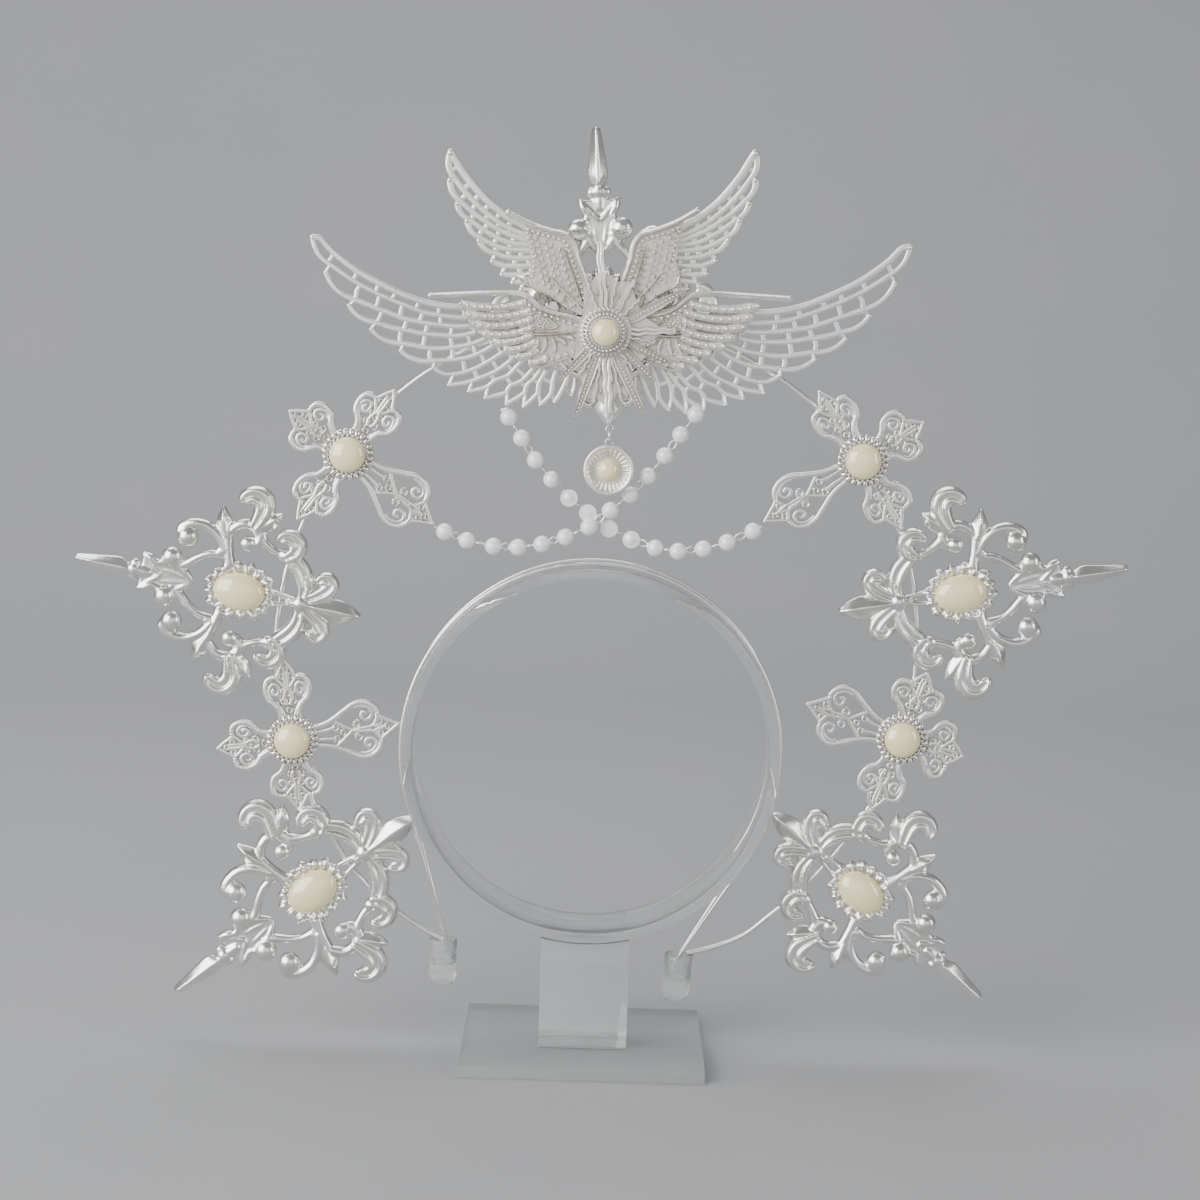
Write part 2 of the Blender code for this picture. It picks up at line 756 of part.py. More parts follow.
def drop_shape():
    profile = [
        (0.0, DROP_BACK),
        (DROP_R - 0.4, DROP_BACK),
        (DROP_R, DROP_FRONT + 0.5),
        (DROP_R - 1.0, DROP_FRONT),
        (DROP_PEARL_R + 0.7, DROP_FRONT + 1.3),
        (0.0, DROP_FRONT + 1.3),
    ]
    body = turned(profile, HANG_X, DROP_Z, 28)
    edge = DROP_Z + DROP_R - 4.6
    top = edge + 4.0
    foot = [(HANG_X - 2.0, edge), (HANG_X + 2.0, edge), (HANG_X + 1.7, top), (HANG_X - 1.7, top)]
    link = plate(foot, HANG_Y - 0.2, DROP_BACK - 0.8)
    return join_exact([body, eye_tab(DROP_EYE_Z, edge + 0.4, 1.8), link])


def halo_path():
    points = []
    table = HALO_ANGLE_RADIUS
    for (a, r), (b, q) in zip(table, table[1:]):
        steps = max(1, round(abs(a - b) / 7.5))
        for i in range(steps):
            share = i / steps
            turn = math.radians(a + (b - a) * share)
            radius = r + (q - r) * share
            points.append((HALO_X + radius * math.cos(turn), 0.0, HALO_Z + radius * math.sin(turn)))
    turn = math.radians(table[-1][0])
    points.append((HALO_X + table[-1][1] * math.cos(turn), 0.0, HALO_Z + table[-1][1] * math.sin(turn)))
    return points


# Angle at which a straight wire from a point leaves the ring's outline
def leaving_angle(x, z, radius, side):
    down = math.degrees(math.atan2(z - RING_Z, x)) % 360.0
    reach = math.hypot(x, z - RING_Z)
    return down + side * math.degrees(math.acos(radius / reach))


def band_path(spread):
    radius = RING_OUT + GAP + BAND_R
    points = []
    ends = BAND_ENDS
    first = leaving_angle(*ends[0], radius, -1.0)
    last = leaving_angle(*ends[1], radius, 1.0) - 360.0
    arc = [first + (last - first) * i / 22 for i in range(23)]
    points.append((ends[0][0], 0.5 * math.copysign(1.0, spread), ends[0][1]))
    for angle in arc:
        turn = math.radians(angle)
        points.append((radius * math.cos(turn), spread, RING_Z + radius * math.sin(turn)))
    points.append((ends[1][0], 0.5 * math.copysign(1.0, spread), ends[1][1]))
    return points


def cap_shape(x, z, lean):
    rows = (
        (0.0, 0.0),
        (0.55, 0.35),
        (0.86, 1.7),
        (1.0, 4.4),
        (0.98, 10.0),
        (1.0, CAP_TALL),
    )
    inner = 1.0 - CAP_WALL / CAP_HALF_X
    pocket = ((inner, CAP_TALL), (inner * 0.96, CAP_POCKET), (0.0, CAP_POCKET))
    profile = list(rows + pocket)
    verts, faces = turned(profile, 0.0, 0.0, 14)
    c, s = math.cos(math.radians(lean)), math.sin(math.radians(lean))
    moved = []
    for u, tall, v in verts:
        u, v = u * CAP_HALF_X, v * CAP_HALF_Y
        moved.append((x + u * c + tall * s, v, z - u * s + tall * c))
    return moved, faces


def build_stand():
    half = BASE_WIDE / 2.0
    base = [(-half, 0.0), (half, 0.0), (half, BASE_THICK), (-half, BASE_THICK)]
    add_node("stand_base", plate(base, BASE_DEEP / 2.0, -BASE_DEEP / 2.0), "acrylic")
    reach = RING_OUT + GAP
    for name, front in (("stand_plate_front", -RING_HALF), ("stand_plate_back", RING_HALF - PLATE_THICK)):
        low = BASE_THICK + GAP
        outline = [(-PLATE_HALF, low), (PLATE_HALF, low)]
        for i in range(9):
            x = PLATE_HALF - 2.0 * PLATE_HALF * i / 8
            outline.append((x, RING_Z - math.sqrt(reach * reach - x * x)))
        add_node(name, plate(outline, front + PLATE_THICK, front), "acrylic")
    ring = ring_band(0.0, RING_Z, RING_OUT - RING_WALL, RING_OUT, RING_HALF, -RING_HALF, 56)
    add_node("stand_ring", ring, "acrylic")


def build_frame():
    path = halo_path()
    add_node("halo_wire", tube(path, [HALO_R] * len(path), 7), "silver")
    wires = []
    for spread in (BAND_SPREAD, -BAND_SPREAD):
        line = band_path(spread)
        wires.append(tube(line, [BAND_R] * len(line), 5))
    ends = []
    for x, z in BAND_ENDS:
        ends.append(tube([(x, -1.2, z), (x, 1.2, z)], [0.95, 0.95], 8))
    add_node("headband", join_exact(wires + ends), "silver")
    for name, spot in CAPS.items():
        add_node(name, cap_shape(*spot), "silicone")


def build_ornaments():
    shape = ornament_shape(FLEUR, ORNAMENT_KEEP)
    for name, (x, z, angle, scale) in ORNAMENTS.items():
        if name == "ornament_top":
            body = placed(ornament_shape(CUT_FLEUR, 1.0), x, z, angle, scale, TOP_BACK)
            body = join_exact([body, hanging_eye()], ORNAMENT_KEEP)
            add_node(name, body, "silver")
            continue
        add_node(name, placed(shape, x, z, angle, scale, WIRE_BACK), "silver")
        stone = dome(0.0, 0.0, STONE_U, -RIM_THICK - GAP, STONE_HIGH, 18, 3, STONE_V / STONE_U)
        add_node(name.replace("ornament", "stone"), placed(stone, x, z, angle, scale, WIRE_BACK), "ivory")


# Flat eye with its hole along Y, closed towards a straight edge
def eye_tab(eye_z, edge_z, half):
    sign = 1.0 if edge_z > eye_z else -1.0
    rim = []
    for k in range(10):
        turn = math.radians(160.0 + 220.0 * k / 9)
        rim.append((HANG_X + EYE_OUT * math.cos(turn), eye_z + sign * EYE_OUT * math.sin(turn)))
    rim += [(HANG_X + half, edge_z), (HANG_X - half, edge_z)]
    hole = round_hole(HANG_X, eye_z, EYE_HOLE, 10)
    return plate(rim, HANG_Y + EYE_THICK / 2.0, HANG_Y - EYE_THICK / 2.0, [hole])


def hanging_eye():
    return eye_tab(FLEUR_EYE_Z, FLEUR_EYE_Z + FLEUR_EDGE, 1.5)


def build_crosses():
    for name, (x, z, angle, short_arms) in CROSSES.items():
        length = LONG_ARMS.get(name) or distance_to_ring(x, z, angle) - RING_ROOM[name]
        add_node(name, cross_shape(x, z, (angle, length), short_arms), "silver")
        back = WIRE_BACK - CROSS_THICK - GAP
        front = back - BEZEL_THICK
        profile = [(0.0, back), (BEZEL_R, back), (BEZEL_R - 1.4, front), (0.0, front)]
        edge = turned(profile, x, z, BEZEL_TEETH * 2, wave=teeth(0.93))
        add_node(name.replace("cross", "cross_bezel"), edge, "silver")
        pearl = dome(x, z, CROSS_PEARL_R, front - GAP, CROSS_PEARL_HIGH, 16, 3)
        add_node(name.replace("cross", "cross_pearl"), pearl, "ivory")


def build_wings():
    big = wing_shape(WING_TOP, WING_TIPS, ((0.10, 0.46), (0.46, 0.86)), (11,), 0.06, 0.97)
    add_node("wing_left", big, "silver")
    add_node("wing_right", other_side(big, *RIGHT_TURN["wing"]), "silver")
    upper = wing_shape(UPPER_TOP, UPPER_TIPS, ((0.16, 0.82),), (), 0.10, 0.98)
    add_node("upper_wing_left", upper, "silver")
    add_node("upper_wing_right", other_side(upper, *RIGHT_TURN["upper"]), "silver")
    for name, outline, key in (("feather_low", LOW_FEATHER, "low"), ("feather_high", HIGH_FEATHER, "high")):
        shape = plate(outline, FEATHER_BACK, FEATHER_BACK - FEATHER_THICK)
        add_node(name + "_left", shape, "silver")
        add_node(name + "_right", other_side(shape, *RIGHT_TURN[key]), "silver")


def build_middle():
    add_node("starburst", star_shape(), "silver")
    back = FEATHER_BACK - FEATHER_THICK - BURST_THICK - 2.0 * GAP
    r = CENTRE_BEZEL_R
    profile = [(0.0, back), (r, back), (r - 0.9, back - 2.2), (0.0, back - 2.0)]
    bezel = turned(profile, MID_X, MID_Z, CENTRE_BEZEL_TEETH * 2, wave=teeth(0.96))
    add_node("centre_bezel", bezel, "silver")
    pearl = dome(MID_X, MID_Z, CENTRE_PEARL_R, back - 2.2 - GAP, 3.4, 16, 3)
    add_node("centre_pearl", pearl, "ivory")


def build_drop():
    ring = []
    for k in range(14):
        turn = 2.0 * math.pi * k / 14
        ring.append((HANG_X, HANG_Y + LINK_R * math.sin(turn), RING_EYE_Z + LINK_R * math.cos(turn)))
    link = add_node("jump_ring", loop_tube(ring, LINK_WIRE, 6), "silver")
    drop = add_node("drop", drop_shape(), "silver")
    pearl = dome(HANG_X, DROP_Z, DROP_PEARL_R, DROP_FRONT + 1.3 - GAP, 3.4, 16, 3)
    bead = add_node("drop_pearl", pearl, "ivory")
    move_origin(link, (HANG_X, HANG_Y, FLEUR_EYE_Z))
    for node in (drop, bead):
        move_origin(node, (HANG_X, HANG_Y, RING_EYE_Z))


def move_origin(node, spot):
    offset = Vector(spot) * MM
    for vertex in node.data.vertices:
        vertex.co -= offset
    node.location = offset


def build_strings():
    left = bead_string(STRING_LEFT, STRING_ENDS["left"], lambda i: -2.0)
    add_node("bead_string_left", left, "white")

    def behind(i):
        return -2.0 + 4.6 * math.exp(-(((i - 7.6) / 2.6) ** 4))

    right = bead_string(STRING_RIGHT, STRING_ENDS["right"], behind)
    add_node("bead_string_right", right, "white")


clear_scene()
build_stand()
build_frame()
build_ornaments()
build_crosses()
build_wings()
build_middle()
build_drop()
build_strings()
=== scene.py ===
import math

import bmesh
import bpy
from mathutils import Matrix, Vector


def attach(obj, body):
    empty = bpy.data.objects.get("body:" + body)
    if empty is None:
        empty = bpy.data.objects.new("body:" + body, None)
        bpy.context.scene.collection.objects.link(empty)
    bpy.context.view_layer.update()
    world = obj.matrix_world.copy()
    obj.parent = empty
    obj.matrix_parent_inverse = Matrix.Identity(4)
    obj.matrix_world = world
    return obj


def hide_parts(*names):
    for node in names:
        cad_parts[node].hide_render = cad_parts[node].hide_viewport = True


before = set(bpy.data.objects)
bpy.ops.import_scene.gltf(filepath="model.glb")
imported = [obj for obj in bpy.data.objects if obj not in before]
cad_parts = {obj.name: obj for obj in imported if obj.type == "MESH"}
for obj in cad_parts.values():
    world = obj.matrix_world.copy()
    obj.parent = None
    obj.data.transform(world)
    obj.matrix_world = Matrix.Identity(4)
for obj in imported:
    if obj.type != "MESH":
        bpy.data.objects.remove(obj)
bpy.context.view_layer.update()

# Millimetres to metres; x and z run across the crown, front is towards minus y
MM = 0.001
WIRE_BACK = -1.3
# Grid of the skin over a casting, in metres; pitch and depth of milled edges
CAST_VOXEL = 0.00037
MILL_PITCH, MILL_DEEP = 1.0, 0.1

# Halo wire, headband, ring
HALO_X, HALO_Z, HALO_R = 1.1, 144.1, 1.0
HALO_ANGLE_RADIUS = (
    (244.6, 118.5), (235.6, 117.9), (224.5, 116.9), (217.5, 114.6), (200.2, 111.9), (182.0, 110.6),
    (149.8, 108.3), (119.8, 109.2), (90.0, 109.6), (60.2, 109.5), (21.2, 110.3), (0.0, 110.1), (-35.3, 110.9),
    (-54.3, 113.2), (-63.0, 115.5), (-72.5, 114.5),
)
RING_Z, RING_OUT, RING_WALL, RING_HALF = 105.7, 64.6, 3.5, 13.5
BASE_WIDE, BASE_DEEP, BASE_THICK = 83.0, 72.0, 4.0
PLATE_HALF, PLATE_THICK, SHEET_EASE = 15.2, 3.0, 0.25
BAND_R, BAND_SPREAD = 0.6, 5.0
BAND_ENDS = ((-47.3, 33.5), (31.2, 31.6))
CAPS = {"cap_left": (-49.4, 20.9, 0.0), "cap_right": (31.5, 17.8, 4.5)}
CAP_HALF_X, CAP_HALF_Y, CAP_TALL, CAP_WALL, CAP_POCKET = 5.0, 4.4, 16.7, 1.0, 8.2
# Outside of a cap: share of its half width, height
CAP_OUTSIDE = (
    (0.0, 0.0), (0.3, 0.08), (0.58, 0.5), (0.8, 1.3), (0.93, 2.5), (0.99, 4.4), (0.97, 8.0), (0.97, 12.0),
    (1.0, CAP_TALL - 0.3), (0.98, CAP_TALL),
)

# Ornaments: x and z of the stone, direction of the spear, size
ORNAMENTS = {
    "upper_left": (-122.0, 157.7, 169.7, 0.99),
    "upper_right": (125.1, 164.4, 10.2, 0.994),
    "lower_left": (-94.8, 53.8, -141.9, 1.031),
    "lower_right": (94.9, 59.2, -40.2, 0.97),
    "top": (-0.1, 258.8, 94.1, 1.037),
}
TOP_BACK, TOP_SPEAR_Z = -2.9, 284.0

# Crosses: x, z, angle and length of the long arm, then of the short ones
CROSSES = {
    "upper_left": (-85.8, 205.9, (-38.1, 37.0), ((55.4, 26.8), (145.0, 24.5), (-126.6, 28.0))),
    "upper_right": (89.9, 208.8, (-146.5, 39.1), ((34.5, 24.3), (123.9, 27.9), (-58.1, 26.4))),
    "lower_left": (-102.8, 106.6, (10.2, 36.7), ((97.3, 27.7), (-171.5, 26.0), (-83.7, 24.4))),
    "lower_right": (107.0, 113.2, (161.4, 34.6), ((71.4, 24.2), (-14.7, 21.7), (-111.1, 26.8))),
}
CROSS_THICK, BEZEL_R, BEZEL_THICK, SCALLOPS = 1.4, 8.8, 1.5, 24
CROSS_PEARL_R, CROSS_PEARL_HIGH = 5.5, 3.6
GAP = 0.3

# Middle piece and wings, left side; right-hand copies are turned and scaled mirror images
MID_X, MID_Z = 0.8, 250.3
WING_RAIL = (
    (-99.3, 279.3), (-96.5, 278.7), (-92.0, 274.2), (-84.1, 268.4), (-76.3, 264.3), (-66.7, 260.2),
    (-60.1, 258.3), (-52.6, 257.2), (-45.8, 257.0), (-25.7, 255.4), (-5.0, 252.5),
)
# Feathers of the large wing: tip, then their upper line from its outer end to the root
WING_FEATHERS = (
    (
        (-94.7, 267.6), (-93.1, 270.2), (-83.9, 264.3), (-73.5, 259.5), (-63.7, 256.0), (-60.3, 254.8),
        (-54.3, 254.0), (-46.5, 253.5),
    ),
    (
        (-86.5, 256.6), (-84.4, 258.5), (-76.1, 255.5), (-67.2, 252.5), (-64.4, 252.0), (-57.9, 251.1),
        (-50.3, 250.6), (-45.6, 250.9),
    ),
    (
        (-78.8, 248.8), (-77.1, 251.0), (-72.0, 249.4), (-65.5, 248.5), (-62.5, 247.9), (-56.0, 247.4),
        (-49.2, 247.4), (-43.5, 248.7),
    ),
    (
        (-68.6, 241.8), (-67.7, 244.2), (-61.1, 243.1), (-57.1, 242.7), (-52.7, 243.1), (-45.5, 244.5),
        (-40.1, 246.6), (-37.2, 248.0),
    ),
    (
        (-57.3, 236.5), (-57.3, 238.6), (-50.0, 239.2), (-45.4, 240.2), (-41.3, 241.9), (-37.7, 244.0),
        (-34.3, 246.0),
    ),
    ((-51.9, 230.6), (-50.4, 234.3), (-46.5, 235.1), (-41.7, 237.2), (-36.8, 240.2), (-32.4, 243.2)),
    ((-45.1, 228.6), (-44.0, 232.1), (-41.3, 233.3), (-36.4, 235.5), (-32.3, 238.5), (-29.3, 241.7)),
    ((-39.4, 226.6), (-38.7, 230.4), (-36.1, 232.6), (-31.9, 234.4), (-28.9, 237.6), (-25.8, 240.8)),
    ((-32.2, 224.8), (-32.2, 228.5), (-31.0, 230.9), (-27.4, 232.5), (-24.4, 235.7), (-22.4, 238.5)),
    ((-26.3, 223.9), (-26.1, 228.6), (-25.2, 231.4), (-22.9, 233.6), (-20.2, 237.6)),
    ((-20.5, 224.7), (-21.5, 228.8), (-21.3, 231.8), (-19.6, 235.2), (-17.9, 238.9)),
    ((-15.7, 225.9), (-17.0, 228.6), (-16.5, 232.9), (-15.4, 237.2), (-14.7, 239.9)),
    ((-10.0, 228.4), (-12.8, 231.2), (-11.1, 235.5), (-9.7, 239.2)),
)
# Middles of the short bars, a row for each feather
WING_BARS = (
    (
        (-92.7, 272.5), (-84.3, 266.9), (-77.0, 262.9), (-71.1, 260.3), (-63.1, 257.5), (-55.9, 255.9),
        (-47.2, 255.4),
    ),
    ((-84.0, 261.6), (-76.6, 258.4), (-68.8, 255.5), (-61.7, 253.8), (-55.3, 252.5)),
    ((-75.8, 253.2), (-67.2, 250.7), (-59.9, 249.7), (-51.4, 249.1), (-43.4, 249.9)),
    ((-69.0, 246.6), (-60.6, 245.8), (-51.5, 245.2), (-45.4, 246.3)),
    ((-58.8, 240.9), (-51.0, 241.0), (-43.5, 242.7), (-37.8, 245.4)),
    ((-47.0, 237.4), (-40.6, 240.1), (-35.0, 243.4)),
    ((-43.0, 234.7), (-36.3, 237.8), (-31.2, 241.2)),
    ((-36.9, 233.1), (-31.2, 237.1)),
    ((-31.9, 233.2), (-27.9, 235.9)),
    ((-26.3, 231.1), (-23.5, 235.4)),
    ((-21.9, 232.3),),
    ((-18.0, 232.8),),
)
UPPER_RAIL = (
    (-53.3, 309.1), (-51.1, 305.9), (-48.6, 302.2), (-45.9, 299.0), (-42.7, 295.5), (-39.2, 292.3),
    (-35.6, 289.6), (-32.5, 287.4), (-26.5, 284.3), (-14.8, 272.4), (-7.5, 265.6),
)
# Feathers of the upper wing, and middles of its short bars
UPPER_FEATHERS = (
    (
        (-53.2, 300.0), (-52.2, 301.1), (-48.3, 296.4), (-43.6, 291.7), (-39.1, 288.1), (-34.9, 285.4),
        (-30.6, 283.4), (-25.8, 281.6),
    ),
    (
        (-50.6, 292.1), (-49.5, 293.0), (-45.0, 289.1), (-40.6, 286.3), (-36.9, 284.1), (-32.3, 282.1),
        (-25.7, 280.1),
    ),
    ((-47.1, 286.4), (-46.5, 287.0), (-42.6, 284.3), (-38.2, 281.8), (-32.6, 279.5), (-25.0, 278.7)),
    ((-42.9, 279.9), (-42.3, 280.7), (-37.8, 278.5), (-32.6, 277.2), (-24.3, 276.9)),
    ((-38.2, 273.0), (-37.0, 275.7), (-33.9, 274.8), (-29.0, 274.3), (-23.8, 274.7)),
    ((-34.8, 268.7), (-33.6, 271.5), (-29.0, 271.6), (-22.7, 272.0)),
    ((-31.1, 266.0), (-30.1, 268.7), (-26.8, 268.9), (-21.3, 269.6)),
    ((-28.2, 263.7), (-27.1, 266.5), (-24.0, 267.2), (-19.5, 268.0)),
    ((-23.6, 261.7), (-23.6, 263.6), (-20.9, 266.1)),
    ((-19.1, 259.4), (-20.1, 261.9), (-17.4, 265.1)),
    ((-15.9, 258.8), (-16.6, 261.2), (-14.3, 264.2)),
    ((-12.7, 258.2), (-13.1, 260.2), (-11.1, 262.9)),
)
UPPER_BARS = (
    ((-51.7, 303.6), (-47.3, 297.9), (-44.0, 294.2), (-40.6, 290.9), (-36.6, 287.9), (-32.6, 285.6)),
    ((-48.4, 294.3), (-44.6, 291.3), (-40.4, 287.8), (-36.4, 285.1), (-32.7, 283.3)),
    ((-45.1, 287.8), (-40.4, 284.8), (-36.1, 282.6), (-31.2, 280.4)),
    ((-42.1, 282.8), (-37.1, 280.1), (-32.1, 278.4), (-27.3, 277.8)),
    ((-37.1, 277.0), (-32.6, 275.9), (-28.4, 275.7)),
    ((-30.5, 273.0), (-25.7, 273.1)),
    ((-28.7, 270.1), (-24.8, 270.2)),
)
# Closed inner parts of the wings, under the relief feathers
WING_INNER = (
    (-47.2, 256.4), (-45.6, 252.0), (-42.6, 248.6), (-36.8, 247.0), (-33.0, 244.2), (-28.0, 240.8),
    (-22.0, 238.0), (-14.6, 239.2), (-8.0, 240.6), (-4.0, 246.0), (-4.0, 252.6), (-25.7, 255.4),
)
UPPER_INNER = (
    (-27.0, 283.6), (-25.2, 279.0), (-24.0, 274.0), (-21.0, 269.0), (-16.0, 264.6), (-10.0, 261.6),
    (-5.0, 260.0), (-6.0, 264.6), (-14.8, 272.4),
)
# Turn in degrees and scale of each right-hand copy
RIGHT_TURN = {
    "wing": (1.0, 1.026),
    "upper_wing": (4.3, 0.982),
    "feather_low": (1.8, 1.046),
    "feather_high": (5.4, 0.989),
}
WING_THICK = 1.2
FEATHER_BACK, FEATHER_THICK = -5.9, 1.7
BURST_BACK, BURST_THICK = FEATHER_BACK - FEATHER_THICK - GAP, 1.6
# Starburst: angle, length and half width of the beaded rays; angle, length, side shifts and half width
# of the wavy ones; angle and reach of the web between them, and of the small drops on it
BEADED_RAYS = (
    (29.3, 30.2, 2.0), (-24.0, 24.7, 1.5), (-43.0, 23.7, 1.7), (-63.6, 31.0, 2.1), (-107.9, 31.6, 1.7),
    (-132.0, 22.7, 1.6),
)
WAVY_RAYS = (
    (95.5, 30.7, (-0.85, 0.85), 0.74),
    (3.0, 23.7, (-0.85, 0.85), 0.7),
    (-86.0, 27.2, (-0.95, 0.95), 0.8),
    (-98.0, 24.0, (0.0,), 0.5),
    (-75.0, 24.0, (0.0,), 0.5),
    (63.0, 20.0, (-0.5, 0.5), 0.5),
    (46.0, 16.0, (0.0,), 0.5),
    (80.0, 18.0, (0.0,), 0.45),
    (112.0, 18.0, (0.0,), 0.45),
    (-52.0, 16.0, (0.0,), 0.5),
    (-120.0, 17.0, (0.0,), 0.5),
    (-10.0, 17.0, (0.0,), 0.45),
)
BURST_WEB = (
    (123.0, 14.0), (116.0, 18.6), (108.0, 17.4), (101.0, 19.6), (90.0, 20.0), (80.0, 17.4), (66.0, 19.0),
    (48.0, 15.0), (36.0, 14.0), (24.0, 14.0), (6.0, 19.0), (0.0, 19.0), (-16.0, 14.0), (-30.0, 16.0),
    (-52.0, 15.0), (-58.0, 18.0), (-70.0, 23.0), (-76.0, 20.0), (-84.0, 25.0), (-90.0, 24.6), (-97.0, 22.0),
    (-103.0, 23.4), (-112.0, 20.0), (-122.0, 15.0), (-140.0, 14.0), (-160.0, 10.0), (180.0, 9.0), (150.0, 9.0),
)
WEB_DROPS = (
    (-102.0, 16.0), (-93.0, 20.0), (-80.0, 16.4), (-71.0, 18.0), (-98.0, 12.4), (104.0, 13.6), (88.0, 14.6),
    (72.0, 13.0), (-116.0, 13.0),
)
CENTRE_BEZEL_R, CENTRE_PEARL_R, CENTRE_TEETH = 8.7, 4.6, 34

# Hanging drop
HANG_X, HANG_Y = 3.2, -4.2
FLEUR_EYE_Z, RING_EYE_Z, DROP_EYE_Z, DROP_Z = 217.4, 215.1, 212.8, 203.6
EYE_HOLE, EYE_OUT, EYE_THICK = 0.9, 1.6, 1.4
LINK_R, LINK_WIRE = 2.3, 0.4
DROP_R, DROP_BACK, DROP_FRONT, DROP_PEARL_R, FLUTES = 8.8, -5.35, -8.4, 3.9, 26

# Bead strings: x and z of the beads
BEAD_R, LINK_HALF, LINK_THICK = 3.0, 1.05, 0.36
STRINGS = {
    "left": (
        (-55.6, 182.0), (-52.2, 180.3), (-44.5, 177.5), (-35.4, 175.8), (-27.0, 175.7), (-18.8, 177.0),
        (-10.8, 179.7), (-2.9, 183.4), (4.3, 189.3), (10.9, 194.9), (16.8, 201.5), (22.3, 208.6),
        (27.5, 216.0), (32.4, 223.0), (34.2, 226.3),
    ),
    "right": (
        (56.2, 185.4), (53.3, 183.6), (44.6, 179.5), (36.5, 177.0), (27.9, 175.9), (20.1, 176.6),
        (11.7, 179.3), (4.0, 182.8), (-3.4, 188.0), (-10.0, 193.0), (-16.1, 199.2), (-21.8, 205.8),
        (-26.7, 213.2), (-31.3, 220.2), (-33.1, 223.1),
    ),
}


# Cross-sections of cast bars from the edge to the middle: share of the half width, share of the height
def both_edges(*half):
    return tuple((-s, h) for s, h in half) + tuple((s, h) for s, h in reversed(half) if s)


ROUND = both_edges((1.0, 0.0), (0.94, 0.42), (0.66, 0.8), (0.0, 1.0))
RIDGE = both_edges((1.0, 0.0), (0.94, 0.34), (0.5, 0.7), (0.1, 1.0))
GROOVE = both_edges((1.0, 0.0), (0.92, 0.5), (0.62, 0.9), (0.26, 0.92), (0.06, 0.66))
CHANNEL = both_edges((1.0, 0.0), (0.96, 0.7), (0.82, 1.0), (0.66, 0.9), (0.5, 0.5))
FLAT = both_edges((1.0, 0.0), (1.0, 0.62), (0.88, 0.88), (0.6, 1.0))

# Bars of one half of the ornament: section, greatest height, then u, v and width of each point
HALF_BARS = (
    (ROUND, 2.6, ((8.0, 11.4, 2.7), (12.5, 10.8, 2.6), (16.6, 8.4, 2.7), (20.4, 5.2, 3.0), (24.0, 3.8, 3.4))),
    (ROUND, 3.0, ((5.2, 8.0, 4.2), (6.6, 13.5, 3.1), (8.2, 19.4, 4.0))),
    (RIDGE, 3.4, ((8.0, 18.0, 3.2), (9.4, 21.2, 5.8), (10.3, 24.4, 4.2), (11.2, 28.0, 0.7))),
    (
        ROUND, 3.0,
        (
            (7.4, 12.6, 3.0), (10.6, 17.1, 3.1), (15.6, 20.0, 3.4), (20.4, 19.8, 3.7), (23.4, 17.6, 4.2),
            (22.8, 15.2, 4.6),
        ),
    ),
    (
        ROUND, 2.8,
        (
            (8.2, 18.8, 3.2), (4.4, 22.8, 3.4), (0.2, 23.4, 3.6), (-3.2, 21.0, 4.2), (-3.0, 17.8, 4.0),
            (-0.8, 16.8, 4.0),
        ),
    ),
    (RIDGE, 3.0, ((-2.2, 21.8, 3.6), (-5.0, 24.8, 5.4), (-7.4, 27.2, 4.2), (-9.4, 29.4, 0.8))),
    (
        GROOVE, 3.8,
        (
            (-0.4, 22.4, 3.8), (-2.0, 26.4, 5.8), (-2.8, 30.0, 7.2), (-1.6, 33.0, 7.4), (1.2, 34.0, 6.4),
            (3.6, 32.8, 5.6), (4.4, 31.2, 4.4), (4.5, 30.2, 2.2),
        ),
    ),
    (ROUND, 2.6, ((-2.6, 20.2, 4.2), (-6.4, 17.6, 2.9), (-10.4, 15.9, 2.7), (-14.8, 15.4, 3.6))),
    (
        GROOVE, 3.6,
        (
            (-13.2, 14.4, 3.6), (-16.2, 16.8, 5.8), (-16.6, 20.0, 6.4), (-14.4, 22.0, 5.6), (-11.9, 21.8, 5.0),
            (-10.6, 20.4, 4.0), (-10.3, 19.5, 2.0),
        ),
    ),
    (
        GROOVE, 3.4,
        ((-13.2, 16.0, 3.2), (-17.0, 13.8, 5.8), (-20.2, 10.4, 6.4), (-21.8, 6.2, 5.2), (-21.4, 1.4, 3.0)),
    ),
    (
        GROOVE, 3.3,
        (
            (-21.8, 1.0, 3.0), (-25.8, 3.2, 4.6), (-29.2, 5.8, 5.6), (-30.8, 8.4, 5.2), (-29.4, 10.4, 4.8),
            (-27.4, 10.0, 4.4), (-26.4, 8.8, 3.4), (-26.2, 8.0, 1.8),
        ),
    ),
    (ROUND, 1.9, ((-9.8, 2.3, 1.7), (-18.8, 1.0, 1.7))),
    (
        ROUND, 3.1,
        (
            (35.4, 6.2, 1.2), (32.6, 5.3, 2.6), (30.0, 4.0, 2.4), (27.0, 5.0, 2.4), (22.6, 4.2, 2.4),
            (19.2, 2.2, 2.2), (16.8, 0.3, 1.2),
        ),
    ),
    (RIDGE, 3.8, ((34.4, 5.4, 1.6), (31.2, 2.8, 2.4), (28.2, 0.2, 2.6))),
    (ROUND, 3.4, ((27.6, 2.0, 1.6), (24.0, 1.7, 2.0), (20.0, 0.9, 1.8))),
)
SPEAR_BARS = (
    (
        RIDGE, 3.6,
        (
            (38.4, 0.0, 2.8), (40.6, 0.0, 4.8), (43.0, 0.0, 6.2), (47.0, 0.0, 5.4), (52.0, 0.0, 4.1),
            (56.8, 0.0, 2.8), (58.2, 0.0, 1.8),
        ),
    ),
    (ROUND, 3.0, ((31.4, 0.0, 2.6), (34.0, 0.0, 3.8), (36.0, 0.0, 3.2), (38.8, 0.0, 3.0))),
)
COLLAR_THICK = 1.9
